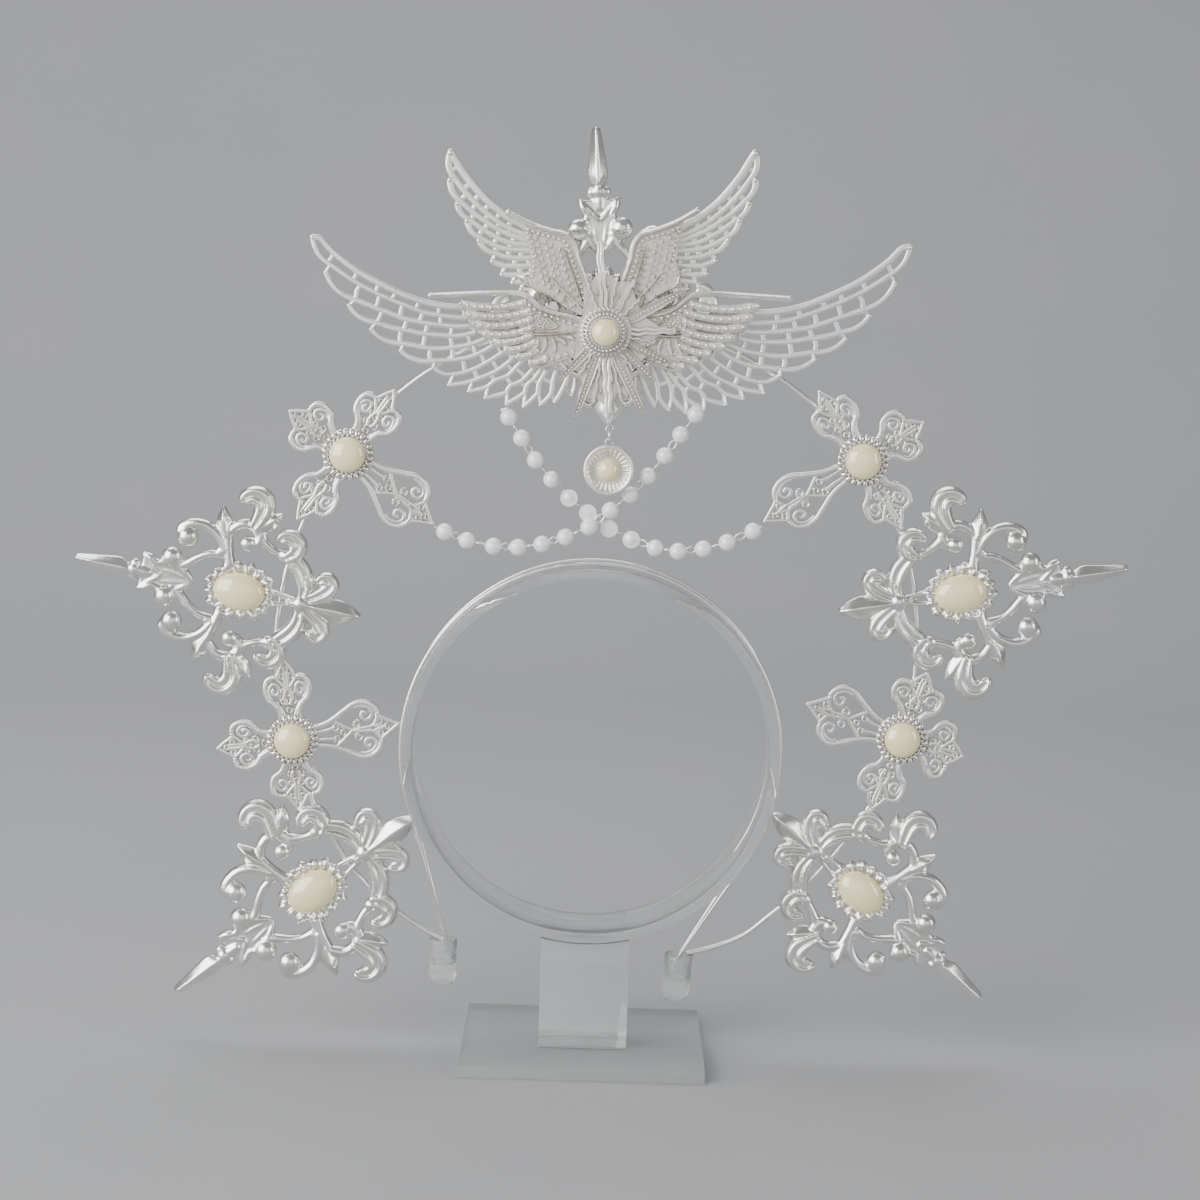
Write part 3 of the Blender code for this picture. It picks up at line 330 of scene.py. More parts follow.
COLLAR = ((34.8, 5.8), (31.8, 4.8), (29.8, 3.4), (27.0, 4.6), (22.6, 4.0), (19.4, 2.2), (16.9, 0.2))
FLEUR_BARS = (
    (RIDGE, 3.4, ((-17.4, 0.0, 2.6), (-20.4, 0.0, 4.8), (-24.0, 0.0, 4.6), (-27.6, 0.0, 2.8))),
    (
        RIDGE, 3.8,
        (
            (-24.6, 0.0, 3.4), (-29.0, 0.0, 5.8), (-34.0, 0.0, 7.8), (-38.4, 0.0, 5.8), (-41.8, 0.0, 2.4),
            (-42.8, 0.0, 1.0),
        ),
    ),
)
CUT_FLEUR_BARS = (
    (RIDGE, 3.0, ((-17.4, 0.0, 2.6), (-20.4, 0.0, 4.8), (-24.0, 0.0, 4.6), (-27.6, 0.0, 2.8))),
    (
        RIDGE, 2.9,
        ((-24.6, 0.0, 3.4), (-29.0, 0.0, 6.2), (-33.4, 0.0, 8.2), (-36.4, 0.0, 5.4), (-38.6, 0.0, 2.6)),
    ),
)
# Cast balls: u, v, radius, height of the middle
BALLS = (
    (37.4, 0.0, 2.6, 1.2), (37.2, 2.2, 1.9, 1.1), (25.2, 7.0, 3.8, 1.1), (21.2, 15.0, 3.8, 1.2),
    (0.4, 16.8, 2.9, 1.2), (-21.6, 0.0, 3.2, 1.0), (9.0, 12.2, 2.0, 1.0), (-12.8, 15.4, 2.4, 1.0),
)
# Rim round the stone, and a petal of it: share of the rim's reach, half width, height
RIM_U, RIM_V, RIM_PETALS = 12.9, 10.6, 16
RIM_PETAL = ((0.66, 1.6, 1.9), (0.8, 2.15, 2.8), (0.9, 1.95, 2.7), (0.98, 1.15, 2.2), (1.04, 0.4, 1.5))
STONE_U, STONE_V, STONE_HIGH, RIM_THICK = 9.0, 6.6, 4.2, 1.5


# Geometry gathered for one piece, in millimetres
class Shape:
    def __init__(self, points=(), faces=()):
        self.points = list(points)
        self.faces = list(faces)
        self.parts = 0

    # Flat backs of crossing bars lie a hair apart
    def back_level(self):
        self.parts += 1
        return 0.012 * (self.parts % 23)

    def add(self, points, faces):
        start = len(self.points)
        self.points += points
        self.faces += [tuple(start + i for i in face) for face in faces]

    def join(self, other):
        self.add(other.points, other.faces)

    def moved(self, change):
        return Shape([change(*point) for point in self.points], self.faces)

    # Skin over closed rings of points, with flat ends unless it runs round
    def loft(self, rings, loop=False):
        size, count = len(rings[0]), len(rings)
        faces = []
        for i in range(count if loop else count - 1):
            for k in range(size):
                near, far = i * size, (i + 1) % count * size
                n = (k + 1) % size
                faces.append((near + k, near + n, far + n, far + k))
        if not loop:
            faces.append(tuple(reversed(range(size))))
            faces.append(tuple((count - 1) * size + k for k in range(size)))
        self.add([tuple(p) for ring in rings for p in ring], faces)


def heading(degrees):
    return math.cos(math.radians(degrees)), math.sin(math.radians(degrees))


# Directions of a full turn in equal steps
def around(count, shift=0.0):
    turns = [2.0 * math.pi * (k + shift) / count for k in range(count)]
    return [(math.cos(t), math.sin(t)) for t in turns]


# Smooth curve through rows of numbers
def smooth(rows, steps):
    if len(rows) < 3:
        return [tuple(row) for row in rows]

    def blend(p, q, r, s, t):
        curve = (2 * p - 5 * q + 4 * r - s) * t * t
        return 0.5 * (2 * q + (r - p) * t + curve + (3 * q - p - 3 * r + s) * t**3)

    result = []
    for i in range(len(rows) - 1):
        near = rows[max(i - 1, 0)], rows[i], rows[i + 1], rows[min(i + 2, len(rows) - 1)]
        for k in range(steps):
            result.append(tuple(blend(*column, k / steps) for column in zip(*near)))
    result.append(tuple(rows[-1]))
    return result


def between(a, b, share):
    return tuple(p + (q - p) * share for p, q in zip(a, b))


# Rows at an even spacing along the first two columns
def even(rows, spacing):
    steps = [math.dist(a[:2], b[:2]) for a, b in zip(rows, rows[1:])]
    count = max(1, round(sum(steps) / spacing))
    result, i, passed = [], 0, 0.0
    for k in range(count + 1):
        goal = sum(steps) * k / count
        while i < len(steps) - 1 and passed + steps[i] < goal:
            passed += steps[i]
            i += 1
        result.append(between(rows[i], rows[i + 1], min(1.0, (goal - passed) / max(steps[i], 1e-9))))
    return result


def neighbours(rows, i, loop):
    last = len(rows) - 1
    before = rows[i - 1] if loop or i else rows[0]
    return before, rows[(i + 1) % (last + 1)] if loop else rows[min(i + 1, last)]


# Cast bar along rows of u, v, half width and height; flat at the back
def bar(shape, rows, section=ROUND, base=0.0, loop=False):
    rings, back = [], shape.back_level()
    for i, (u, v, half, high) in enumerate(rows):
        before, after = neighbours(rows, i, loop)
        du, dv = after[0] - before[0], after[1] - before[1]
        size = math.hypot(du, dv) or 1.0
        du, dv = du / size, dv / size
        rings.append([(u - dv * half * s, v + du * half * s, base + max(high * h, back)) for s, h in section])
    shape.loft(rings, loop)


# Cast bar of one width and height
def level_bar(shape, line, half, high, section=ROUND, loop=False):
    bar(shape, [(u, v, half, high) for u, v in line], section, loop=loop)


def hoop(shape, u, v, radius, half, high, sides):
    level_bar(shape, [(u + radius * c, v + radius * s) for c, s in around(sides)], half, high, loop=True)


def milled(rows):
    result = []
    for i, (u, v, half, high) in enumerate(even(rows, MILL_PITCH / 4.0)):
        grow = 1.0 - MILL_DEEP * (1.0 - math.cos(0.5 * math.pi * i)) / 2.0
        result.append((u, v, half * grow, high * grow))
    return result


def ball(shape, u, v, h, radius, squash=1.0, sides=10, rings=6):
    back = shape.back_level()
    points = [(u, v, max(h - radius * squash, back))]
    for i in range(1, rings):
        turn = math.pi * i / rings
        reach, level = radius * math.sin(turn), max(h - radius * squash * math.cos(turn), back)
        points += [(u + reach * c, v + reach * s, level) for c, s in around(sides)]
    points.append((u, v, h + radius * squash))
    last = len(points) - 1
    faces = []
    for k in range(sides):
        n = (k + 1) % sides
        faces.append((0, 1 + n, 1 + k))
        for i in range(rings - 2):
            a, b = 1 + i * sides + k, 1 + i * sides + n
            faces.append((a, b, b + sides, a + sides))
        faces.append((last, last - sides + k, last - sides + n))
    shape.add(points, faces)


# Row of small cast grains
def granules(shape, line, spacing, radius, high):
    for u, v in even(line, spacing):
        ball(shape, u, v, high, radius, 1.0, 8, 5)


# Flat plate inside an outline
def plate(shape, outline, high):
    size = len(outline)
    points = [(u, v, h) for h in (shape.back_level(), high) for u, v in outline]
    faces = [tuple(range(size)), tuple(reversed(range(size, 2 * size)))]
    faces += [(k, (k + 1) % size, size + (k + 1) % size, size + k) for k in range(size)]
    shape.add(points, faces)


# Round rod through points in space
def rod(shape, path, radius, sides=12, loop=False):
    path = [Vector(p) for p in path]
    rings = []
    side = (path[1] - path[0]).normalized().orthogonal().normalized()
    for i, point in enumerate(path):
        before, after = neighbours(path, i, loop)
        ahead = (after - before).normalized()
        side = (side - ahead * side.dot(ahead)).normalized()
        other = ahead.cross(side)
        r = radius[i] if isinstance(radius, list) else radius
        rings.append([tuple(point + (side * c + other * s) * r) for c, s in around(sides)])
    shape.loft(rings, loop)


# Disc-like form from a profile of radius and height, with an optional change of radius round it
def turned(shape, profile, sides=48, stretch=1.0, wave=None):
    rings, back = [], shape.back_level()
    for radius, h in profile:
        ring = []
        for k, (c, s) in enumerate(around(sides)):
            r = max(radius, 0.001) * (wave(k, radius) if wave else 1.0)
            ring.append((r * c, r * stretch * s, max(h, back)))
        rings.append(ring)
    shape.loft(rings)
    return shape


def dome_profile(radius, base, high, steps=12):
    rows = [(0.0, base), (radius * 0.9, base), (radius * 0.985, base + 0.15)]
    for i in range(steps + 1):
        turn = 0.5 * math.pi * i / steps
        rows.append((radius * math.cos(turn), base + 0.4 + (high - 0.4) * math.sin(turn)))
    return rows


# Local u, v and height to the crown's x, y and z
def placed(shape, x=0.0, z=0.0, angle=0.0, scale=1.0, back=0.0):
    c, s = heading(angle)
    return shape.moved(lambda u, v, h: (x + (u * c - v * s) * scale, back - h, z + (u * s + v * c) * scale))


# Mirror image across the middle piece, turned and scaled about it
def right_copy(shape, turn, scale):
    c, s = heading(turn)

    def crossed(x, y, z):
        u, v = (MID_X - x) * scale, (z - MID_Z) * scale
        return MID_X + u * c - v * s, y, MID_Z + u * s + v * c

    return shape.moved(crossed)


# Second half of a form, a hair higher so that no faces coincide
def mirrored(shape):
    return shape.moved(lambda u, v, h: (u, -v, h + 0.013))


# Part laid round the middle at an angle
def spin(shape, part, angle):
    c, s = heading(angle)
    shape.join(part.moved(lambda u, v, h: (u * c - v * s, u * s + v * c, h)))


def put_in_scene(name, data):
    thing = bpy.data.objects.new(name, data)
    bpy.context.scene.collection.objects.link(thing)
    return thing


def weld(mesh, gap, dissolve):
    work = bmesh.new()
    work.from_mesh(mesh)
    bmesh.ops.remove_doubles(work, verts=work.verts, dist=gap)
    if dissolve:
        bmesh.ops.dissolve_degenerate(work, edges=work.edges, dist=gap)
    bmesh.ops.recalc_face_normals(work, faces=work.faces)
    work.to_mesh(mesh)
    work.free()
    return mesh


def mesh_of(name, shape):
    mesh = bpy.data.meshes.new(name)
    mesh.from_pydata([(x * MM, y * MM, z * MM) for x, y, z in shape.points], [], shape.faces)
    return weld(mesh, 0.0000005, True)


# Mesh of an object as it looks with its modifiers, or of a curve
def final_mesh(thing):
    graph = bpy.context.evaluated_depsgraph_get()
    mesh = bpy.data.meshes.new_from_object(thing.evaluated_get(graph))
    bpy.data.objects.remove(thing, do_unlink=True)
    return mesh


# One cast body from overlapping bars, softened where they meet
def cast(shape):
    rough = mesh_of("rough_casting", shape)
    thing = put_in_scene("rough_casting", rough)
    remesh = thing.modifiers.new("cast", "REMESH")
    remesh.mode = "VOXEL"
    remesh.voxel_size = CAST_VOXEL
    soft = thing.modifiers.new("soften", "SMOOTH")
    soft.factor = 0.5
    soft.iterations = 2
    mesh = final_mesh(thing)
    bpy.data.meshes.remove(rough)
    return mesh


def finish_piece(name, form, node, material, body="crown_on_stand", sharp=None):
    mesh = mesh_of(name, form) if isinstance(form, Shape) else form
    piece = put_in_scene(name, mesh)
    mesh.materials.clear()
    mesh.materials.append(material)
    mesh.shade_smooth()
    if sharp:
        mesh.set_sharp_from_angle(angle=math.radians(sharp))
    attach(piece, body)
    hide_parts(node)


# A socket of a material; sums on it add Math nodes
class Value:
    def __init__(self, board, socket):
        self.board = board
        self.socket = socket

    def sum(self, operation, *values):
        return self.board.node("ShaderNodeMath", {"operation": operation}, *values)

    def __add__(self, other):
        return self.sum("ADD", self, other)

    def __mul__(self, other):
        return self.sum("MULTIPLY", self, other)

    def __sub__(self, other):
        return self.sum("SUBTRACT", self, other)

    def __rsub__(self, other):
        return self.sum("SUBTRACT", other, self)

    __radd__, __rmul__ = __add__, __mul__

    def clamp(self):
        return self.board.node("ShaderNodeClamp", {}, self)


# Nodes of one material
class Board:
    def __init__(self, name):
        self.material = bpy.data.materials.new(name)
        self.material.use_nodes = True
        self.tree = self.material.node_tree
        self.shader = self.tree.nodes["Principled BSDF"]
        self.place = self.node("ShaderNodeTexCoord", {}, out="Object")

    def fill(self, socket, value):
        if isinstance(value, Value):
            self.tree.links.new(value.socket, socket)
        else:
            socket.default_value = value

    def node(self, kind, settings, *values, out=0, **named):
        made = self.tree.nodes.new(kind)
        for key, value in settings.items():
            if key == "stops":
                ramp = made.color_ramp
                while len(ramp.elements) < len(value):
                    ramp.elements.new(0.5)
                for element, (place, colour) in zip(ramp.elements, value):
                    element.position = place
                    element.color = (*colour, 1.0)
            else:
                setattr(made, key, value)
        for socket, value in zip(made.inputs, values):
            self.fill(socket, value)
        for key, value in named.items():
            self.fill(made.inputs[key.replace("_", " ")], value)
        return Value(self, made.outputs[out])

    def noise(self, scale, detail=2.0, rough=0.5):
        sockets = {"Vector": self.place, "Scale": scale, "Detail": detail, "Roughness": rough}
        return self.node("ShaderNodeTexNoise", {}, **sockets)

    def tint(self, share, first, second):
        return self.node("ShaderNodeValToRGB", {"stops": ((0.0, first), (1.0, second))}, Fac=share)

    # The colour sockets of a Mix node are its inputs 6 and 7 and its output 2
    def mix(self, share, first, second):
        made = self.node("ShaderNodeMix", {"data_type": "RGBA"}, share, out=2)
        sockets = made.socket.node.inputs
        self.fill(sockets[6], first)
        self.fill(sockets[7], (*second, 1.0))
        return made

    def set(self, **named):
        for key, value in named.items():
            self.fill(self.shader.inputs[key.replace("_", " ")], value)

    def bump(self, height, strength, distance):
        self.set(Normal=self.node("ShaderNodeBump", {}, Strength=strength, Distance=distance, Height=height))


# Colours: polished, satin and shaded silver, and the painted shade of its crevices
BRIGHT, SHADED, CREVICE_SHADE = (0.93, 0.915, 0.885), (0.80, 0.775, 0.73), (0.36, 0.30, 0.24)
SATIN, SANDY = (0.96, 0.945, 0.91), (0.84, 0.81, 0.75)


# Cast or drawn silver, with painted shade in its crevices and, in a relief, painted shade down at its ground
def silver(name, rough, bright=BRIGHT, shade=SHADED, grain=0.12, dents=0.0, ground=None):
    board = Board(name)
    cloud = board.noise(90.0, 3.0)
    fine = board.noise(1400.0, 2.0, 0.6)
    settings = {"samples": 6, "only_local": True}
    # Painted shade: the colour darkens towards a brown dark wherever nearby metal closes in round a point
    open_air = board.node("ShaderNodeAmbientOcclusion", settings, Distance=0.0016, out="AO")
    crevice_shade = ((0.8 - open_air) * 1.7).clamp()
    # Painted shade: in a relief, everything set further back than the given ground level is darkened as well
    if ground:
        deep = board.node("ShaderNodeSeparateXYZ", {}, board.place, out="Y")
        crevice_shade = (crevice_shade + ((deep - ground / 1000.0) * 2500.0).clamp() * 0.62).clamp()
    polish = board.tint(((cloud - 0.5) * 2.2 + 0.55).clamp(), shade, bright)
    board.set(Metallic=1.0, Base_Color=board.mix(crevice_shade * 0.66, polish, CREVICE_SHADE))
    board.set(Roughness=rough + cloud * 0.12 + fine * 0.06 + crevice_shade * 0.2)
    board.bump(fine * grain + board.noise(620.0, 2.0, 0.45) * dents, 1.0, 0.0001)
    return board.material


# Glossy resin pearl, its colour painted deeper towards the edge that turns from the view, a painted sheen
def pearl(name, core, edge):
    board = Board(name)
    # Painted sheen: the colour moves from the core colour to the edge colour as the surface turns away from
    # the view
    facing_sheen = board.node("ShaderNodeLayerWeight", {}, Blend=0.45, out="Facing")
    cloud = board.noise(160.0, 3.0)
    board.set(Base_Color=board.tint((facing_sheen * 0.75 + (cloud - 0.5) * 0.25).clamp(), core, edge))
    board.set(Roughness=0.22 + cloud * 0.08, Coat_Weight=1.0, Coat_Roughness=0.05, Coat_IOR=1.85)
    board.set(Sheen_Weight=0.1, Subsurface_Weight=0.12, Subsurface_Scale=0.002)
    board.set(Subsurface_Radius=(1.0, 0.8, 0.6))
    board.bump(board.noise(700.0, 2.0), 0.03, 0.0001)
    return board.material


def clear_plastic(name, colour, rough, haze, clear):
    board = Board(name)
    cloud = board.noise(40.0, 2.0)
    board.set(Base_Color=board.tint(cloud, colour, tuple(c * 0.985 for c in colour)))
    board.set(Transmission_Weight=clear, IOR=1.49, Roughness=rough + cloud * haze)
    return board.material


def silicone(name):
    board = Board(name)
    cloud = board.noise(220.0, 2.0)
    board.set(Transmission_Weight=0.86, IOR=1.41, Subsurface_Weight=0.15, Subsurface_Scale=0.003)
    board.set(Base_Color=board.tint(cloud, (0.95, 0.96, 0.96), (0.90, 0.92, 0.92)))
    board.set(Roughness=0.22 + cloud * 0.1)
    board.bump(cloud, 0.15, 0.0002)
    return board.material


SILVER = silver("bright_silver_casting", 0.15, dents=0.6)
FILIGREE_SILVER = silver("fine_silver_filigree", 0.22, (0.96, 0.945, 0.92), (0.86, 0.835, 0.79), 0.1, 0.6)
WING_SILVER = silver("satin_silver_wings", 0.3, SATIN, (0.86, 0.835, 0.78), 0.15, 0.7)
RELIEF_SILVER = silver("sandy_silver_reliefs", 0.3, SATIN, SANDY, 0.2, 2.2, FEATHER_BACK - 1.35)
BURST_SILVER = silver("sandy_silver_starburst", 0.3, SATIN, SANDY, 0.2, 2.0, BURST_BACK - 1.25)
DROP_SILVER = silver("satin_silver_drop", 0.3, (0.96, 0.945, 0.90), (0.90, 0.875, 0.81), 0.1, 0.6)
WIRE_SILVER = silver("drawn_silver_wire", 0.16, (0.93, 0.92, 0.90), (0.84, 0.83, 0.80), 0.05)
IVORY_PEARL = pearl("ivory_pearl", (0.98, 0.87, 0.49), (0.84, 0.68, 0.33))
WHITE_PEARL = pearl("white_pearl_bead", (0.95, 0.94, 0.92), (0.90, 0.88, 0.87))
ACRYLIC = clear_plastic("clear_acrylic", (0.97, 0.98, 0.985), 0.01, 0.02, 0.94)
FROSTED = clear_plastic("satin_acrylic_base", (0.95, 0.965, 0.97), 0.10, 0.12, 0.8)
SILICONE = silicone("clear_silicone")


def round_pearl(name, node, radius, high, x, z, back, body="crown_on_stand"):
    stone = placed(turned(Shape(), dome_profile(radius, 0.0, high)), x, z, back=back)
    finish_piece(name, stone, node, IVORY_PEARL, body)


# Bars from points of u, v and width, a little fuller for the softening and lower where they are narrow
def cast_bars(shape, bars):
    for section, high, points in bars:
        rows = [(u, v, wide * 0.54 + 0.12, min(high, 0.8 + 0.75 * wide)) for u, v, wide in points]
        bar(shape, smooth(rows, 5), section)


def ornament_shape(fleur):
    shape, half = Shape(), Shape()
    cast_bars(half, HALF_BARS)
    for u, v, radius, middle in BALLS:
        ball(shape if v == 0.0 else half, u, v, middle, radius, 0.85, 16, 10)
    shape.join(half)
    shape.join(mirrored(half))
    cast_bars(shape, SPEAR_BARS + fleur)
    plate(shape, COLLAR + tuple((u, -v) for u, v in reversed(COLLAR)), COLLAR_THICK)
    rim = [(0.0, 0.0), (8.6, 0.0), (9.6, 0.5), (9.4, RIM_THICK), (0.0, RIM_THICK)]
    turned(shape, rim, 64, RIM_V / RIM_U)
    for k, (c, s) in enumerate(around(RIM_PETALS, 0.5)):
        long = 1.0 if k % 2 else 0.95
        rows = []
        for share, wide, high in RIM_PETAL:
            rows.append((RIM_U * share * long * c, RIM_V * share * long * s, wide, high))
        bar(shape, smooth(rows, 3), RIDGE)
    return shape


# The top ornament's lowest curls are pressed towards its middle leaf
def pressed_curls(u, v, h):
    closing = min(max((-20.0 - u) / 5.0, 0.0), 1.0) * min(max((abs(v) - 4.5) / 2.0, 0.0), 1.0)
    return u, v * (1.0 - 0.26 * closing), h


# Flat eye with its hole along y, on a short stem
def eye(eye_z, edge_z, half):
    sign = 1.0 if edge_z > eye_z else -1.0
    shape = Shape()
    hoop(shape, HANG_X, eye_z, (EYE_HOLE + EYE_OUT) / 2.0, (EYE_OUT - EYE_HOLE) / 2.0, EYE_THICK, 24)
    stem = [(HANG_X, eye_z + sign * EYE_OUT * 0.8, 0.8, EYE_THICK), (HANG_X, edge_z, half, EYE_THICK)]
    bar(shape, stem, FLAT)
    return placed(shape, back=HANG_Y + EYE_THICK / 2.0)


def build_ornaments():
    side = ornament_shape(FLEUR_BARS)
    for name, (x, z, angle, scale) in ORNAMENTS.items():
        if name == "top":
            body = ornament_shape(CUT_FLEUR_BARS).moved(pressed_curls)
            body = placed(body, x, z, angle, scale, TOP_BACK)
            # Below its spear it stays behind the fronts of the reliefs
            front = FEATHER_BACK + 0.3
            body = body.moved(lambda px, py, pz: (px, max(py, front) if pz < TOP_SPEAR_Z else py, pz))
            body.join(eye(FLEUR_EYE_Z, FLEUR_EYE_Z + 4.0, 1.5))
        else:
            body = placed(side, x, z, angle, scale, WIRE_BACK)
            dome = dome_profile(STONE_U, RIM_THICK + GAP, STONE_HIGH)
            stone = placed(turned(Shape(), dome, 64, STONE_V / STONE_U), x, z, angle, scale, WIRE_BACK)
            finish_piece("oval_stone_" + name, stone, "stone_" + name, IVORY_PEARL)
        finish_piece("casting_" + name, cast(body), "ornament_" + name, SILVER)


# Filigree arm: bars as (a, b) points along and across the arm, for one half
EDGE_HALF, EDGE_HIGH, WIRE_HALF, WIRE_HIGH = 0.98, 1.45, 0.68, 1.2
LONG_EDGE = (
    (6.5, 3.3), (9.7, 3.6), (13.8, 4.8), (19.0, 7.8), (22.4, 9.7), (26.0, 9.9), (28.9, 8.1), (30.0, 5.6),
)
LONG_MILL = LONG_EDGE[3:7] + ((30.0, 5.9), (29.8, 4.4))
LONG_LINES = (
    (
        (22.4, 8.4), (24.2, 8.8), (27.0, 7.9), (28.3, 5.8), (27.4, 3.8), (25.4, 3.6), (24.5, 5.2), (25.4, 6.5),
        (26.6, 5.8),
    ),
    ((30.1, 4.8), (31.2, 3.7), (33.2, 2.3), (36.6, 0.0)),
    ((7.0, 1.6), (11.0, 1.5), (15.0, 2.2)),
    ((20.8, 0.0), (17.6, 2.6), (14.6, 5.0)),
    ((20.8, 0.0), (24.6, 0.6), (28.2, 1.0), (30.2, 4.4)),
    ((28.2, 1.0), (30.6, 0.4), (32.6, 0.0)),
)
LONG_RINGS = (
    (15.2, 2.2, 1.15), (22.6, 2.3, 1.35), (30.4, 2.2, 1.05), (32.8, 0.0, 0.95), (17.6, 0.0, 1.0),
    (25.8, 0.0, 1.0),
)
SHORT_EDGE = ((6.5, 4.0), (9.6, 4.5), (12.2, 6.6), (13.6, 9.0), (16.8, 10.2), (19.8, 9.0), (20.6, 6.4))
SHORT_MILL = ((11.4, 5.8),) + SHORT_EDGE[3:6] + ((20.7, 6.4), (20.5, 4.6))
SHORT_LINES = (
    (
        (13.6, 7.2), (15.0, 8.6), (17.4, 8.2), (18.6, 6.2), (17.6, 4.2), (15.6, 4.2), (14.8, 5.8), (15.8, 7.0),
        (17.0, 6.2),
    ),
    ((20.4, 4.8), (21.6, 3.6), (23.6, 2.2), (26.0, 0.0)),
    ((7.0, 2.0), (9.6, 3.4), (12.4, 5.6)),
    ((11.6, 0.6), (13.6, 1.8), (17.4, 0.6)),
    ((16.6, 0.4), (18.4, 2.6), (20.2, 4.4)),
    ((16.6, 0.4), (19.4, 0.7), (22.6, 0.7)),
)
SHORT_RINGS = (
    (12.7, 2.1, 1.2), (16.0, 2.2, 0.9), (20.9, 2.1, 1.0), (23.1, 0.0, 0.85), (9.8, 0.0, 1.1), (15.4, 0.0, 1.1),
)
LONG_ARM = (LONG_EDGE, LONG_MILL, LONG_LINES, LONG_RINGS, 36.6, 0.95)
SHORT_ARM = (SHORT_EDGE, SHORT_MILL, SHORT_LINES, SHORT_RINGS, 26.0, 0.79)
# Small closed diamonds in an arm: where they begin and end, and their half width
DIAMONDS = ((0.52, 0.72, 2.3), (0.84, 0.95, 1.5))


def filigree_arm(length, edge, mill, lines, rings, full, wide):
    half = Shape()
    grow = length / full
    wide /= grow

    def at(rows):
        return [(a * grow if a > 7.5 else a, b * wide) for a, b in rows]

    level_bar(half, smooth(at(edge), 5), EDGE_HALF, EDGE_HIGH, FLAT)
    bar(half, milled([(a, b, EDGE_HALF * 1.1, EDGE_HIGH * 1.1) for a, b in smooth(at(mill), 6)]))
    for i, line in enumerate(lines):
        level_bar(half, smooth(at(line), 4), WIRE_HALF, WIRE_HIGH + 0.03 * i, FLAT)
    for a, b, radius in rings:
        if b:
            hoop(half, a * grow, b * wide, radius * 0.86, WIRE_HALF * 0.8, WIRE_HIGH * 1.06, 14)
    arm = Shape(half.points, half.faces)
    arm.join(mirrored(half))
    for first, last, side in DIAMONDS:
        middle = (first + last) / 2.0
        ground = ((first, 0.0), (middle, -side), (last, 0.0), (middle, side))
        plate(arm, [(a * length, b) for a, b in ground], 0.6)
    for a, b, radius in rings:
        if not b:
            hoop(arm, a * grow, 0.0, radius * 0.9, WIRE_HALF * 0.8, WIRE_HIGH * 1.12, 14)
    ball(arm, length, 0.0, 0.7, 0.8, 0.9)
    return arm


# Scalloped bezel with a ring of prong beads
def bezel_shape():
    profile = [(0.0, 0.0), (BEZEL_R - 1.0, 0.0), (BEZEL_R - 0.9, 0.5), (CROSS_PEARL_R + 0.5, 1.1), (0.0, 1.1)]
    shape = turned(Shape(), profile)
    scallop = ((6.6, 0.7, 1.35), (7.6, 0.95, 1.45), (8.5, 1.08, 1.1), (9.0, 0.7, 0.5))
    for (c, s), (bead_c, bead_s) in zip(around(SCALLOPS), around(SCALLOPS, 0.5)):
        bar(shape, smooth([(r * c, r * s, half, high) for r, half, high in scallop], 3))
        ball(shape, 6.65 * bead_c, 6.65 * bead_s, 1.5, 0.55, 1.2, 8, 6)
    return shape


def build_crosses():
    bezel = bezel_shape()
    hub = turned(Shape(), [(0.0, 0.3), (8.0, 0.3), (8.0, 1.0), (0.0, 1.0)], 32)
    front = WIRE_BACK - CROSS_THICK - GAP
    for name, (x, z, long_arm, short_arms) in CROSSES.items():
        body = Shape()
        body.join(placed(hub, x, z, back=WIRE_BACK))
        for (angle, length), kind in [(long_arm, LONG_ARM)] + [(arm, SHORT_ARM) for arm in short_arms]:
            body.join(placed(filigree_arm(length, *kind), x, z, angle, back=WIRE_BACK))
        finish_piece("filigree_" + name, body, "cross_" + name, FILIGREE_SILVER, sharp=50)
        setting = placed(bezel, x, z, 7.0, back=front)
        finish_piece("pearl_setting_" + name, setting, "cross_bezel_" + name, SILVER)
        spot = (x, z, front - BEZEL_THICK)
        round_pearl("round_pearl_" + name, "cross_pearl_" + name, CROSS_PEARL_R + 0.6, CROSS_PEARL_HIGH, *spot)


# Curve from a to b whose middle is pushed sideways by a share of its length
def bow(a, b, share, count):
    length = math.dist(a, b)
    du, dv = (b[0] - a[0]) / length, (b[1] - a[1]) / length
    push = share * length * 2.0
    c = ((a[0] + b[0]) / 2.0 + dv * push, (a[1] + b[1]) / 2.0 - du * push)
    rows = []
    for i in range(count + 1):
        t = i / count
        rows.append(tuple(a[k] * (1 - t) ** 2 + 2 * c[k] * t * (1 - t) + b[k] * t * t for k in range(2)))
    return rows


# Pierced wing: rail, feather lines, rounded feather ends with barbs, short bars between the lines
def pierced_wing(rail, feathers, bars, inner, half, bulge, lobes):
    shape, high = Shape(), WING_THICK
    plate(shape, inner, high * 0.7)
    rail = smooth(rail, 5)
    level_bar(shape, rail, half * 1.25, high * 1.15, FLAT)
    lines = [rail] + [smooth(feather[1:], 8) for feather in feathers]
    ends = [rail[0]] + [feather[0] for feather in feathers]
    ball(shape, *rail[0], high * 0.5, half * 1.3, 0.8, 14, 8)

    def nearest(line, point):
        return min(line, key=lambda p: math.dist(p, point))

    for i, (upper, lower) in enumerate(zip(lines, lines[1:])):
        lobe = bow(ends[i], lower[0], bulge if i < lobes else 0.03, 12)
        level_bar(shape, lobe, half * 1.05, high * 1.05, FLAT)
        level_bar(shape, lower, half, high, FLAT)
        bar(shape, [(*lower[0], half, high * 1.08), (*ends[i + 1], half * 0.95, high * 1.08)])
        ball(shape, *ends[i + 1], high * 0.5, half, 0.95, 12, 8)
        for middle in bars[i] if i < len(bars) else ():
            short = (nearest(upper, middle), middle, nearest(lobe + lower, middle))
            level_bar(shape, short, half * 0.95, high * 0.92, FLAT)
    level_bar(shape, bow(ends[-1], lines[-1][-1], 0.08, 8), half, high)
    return shape


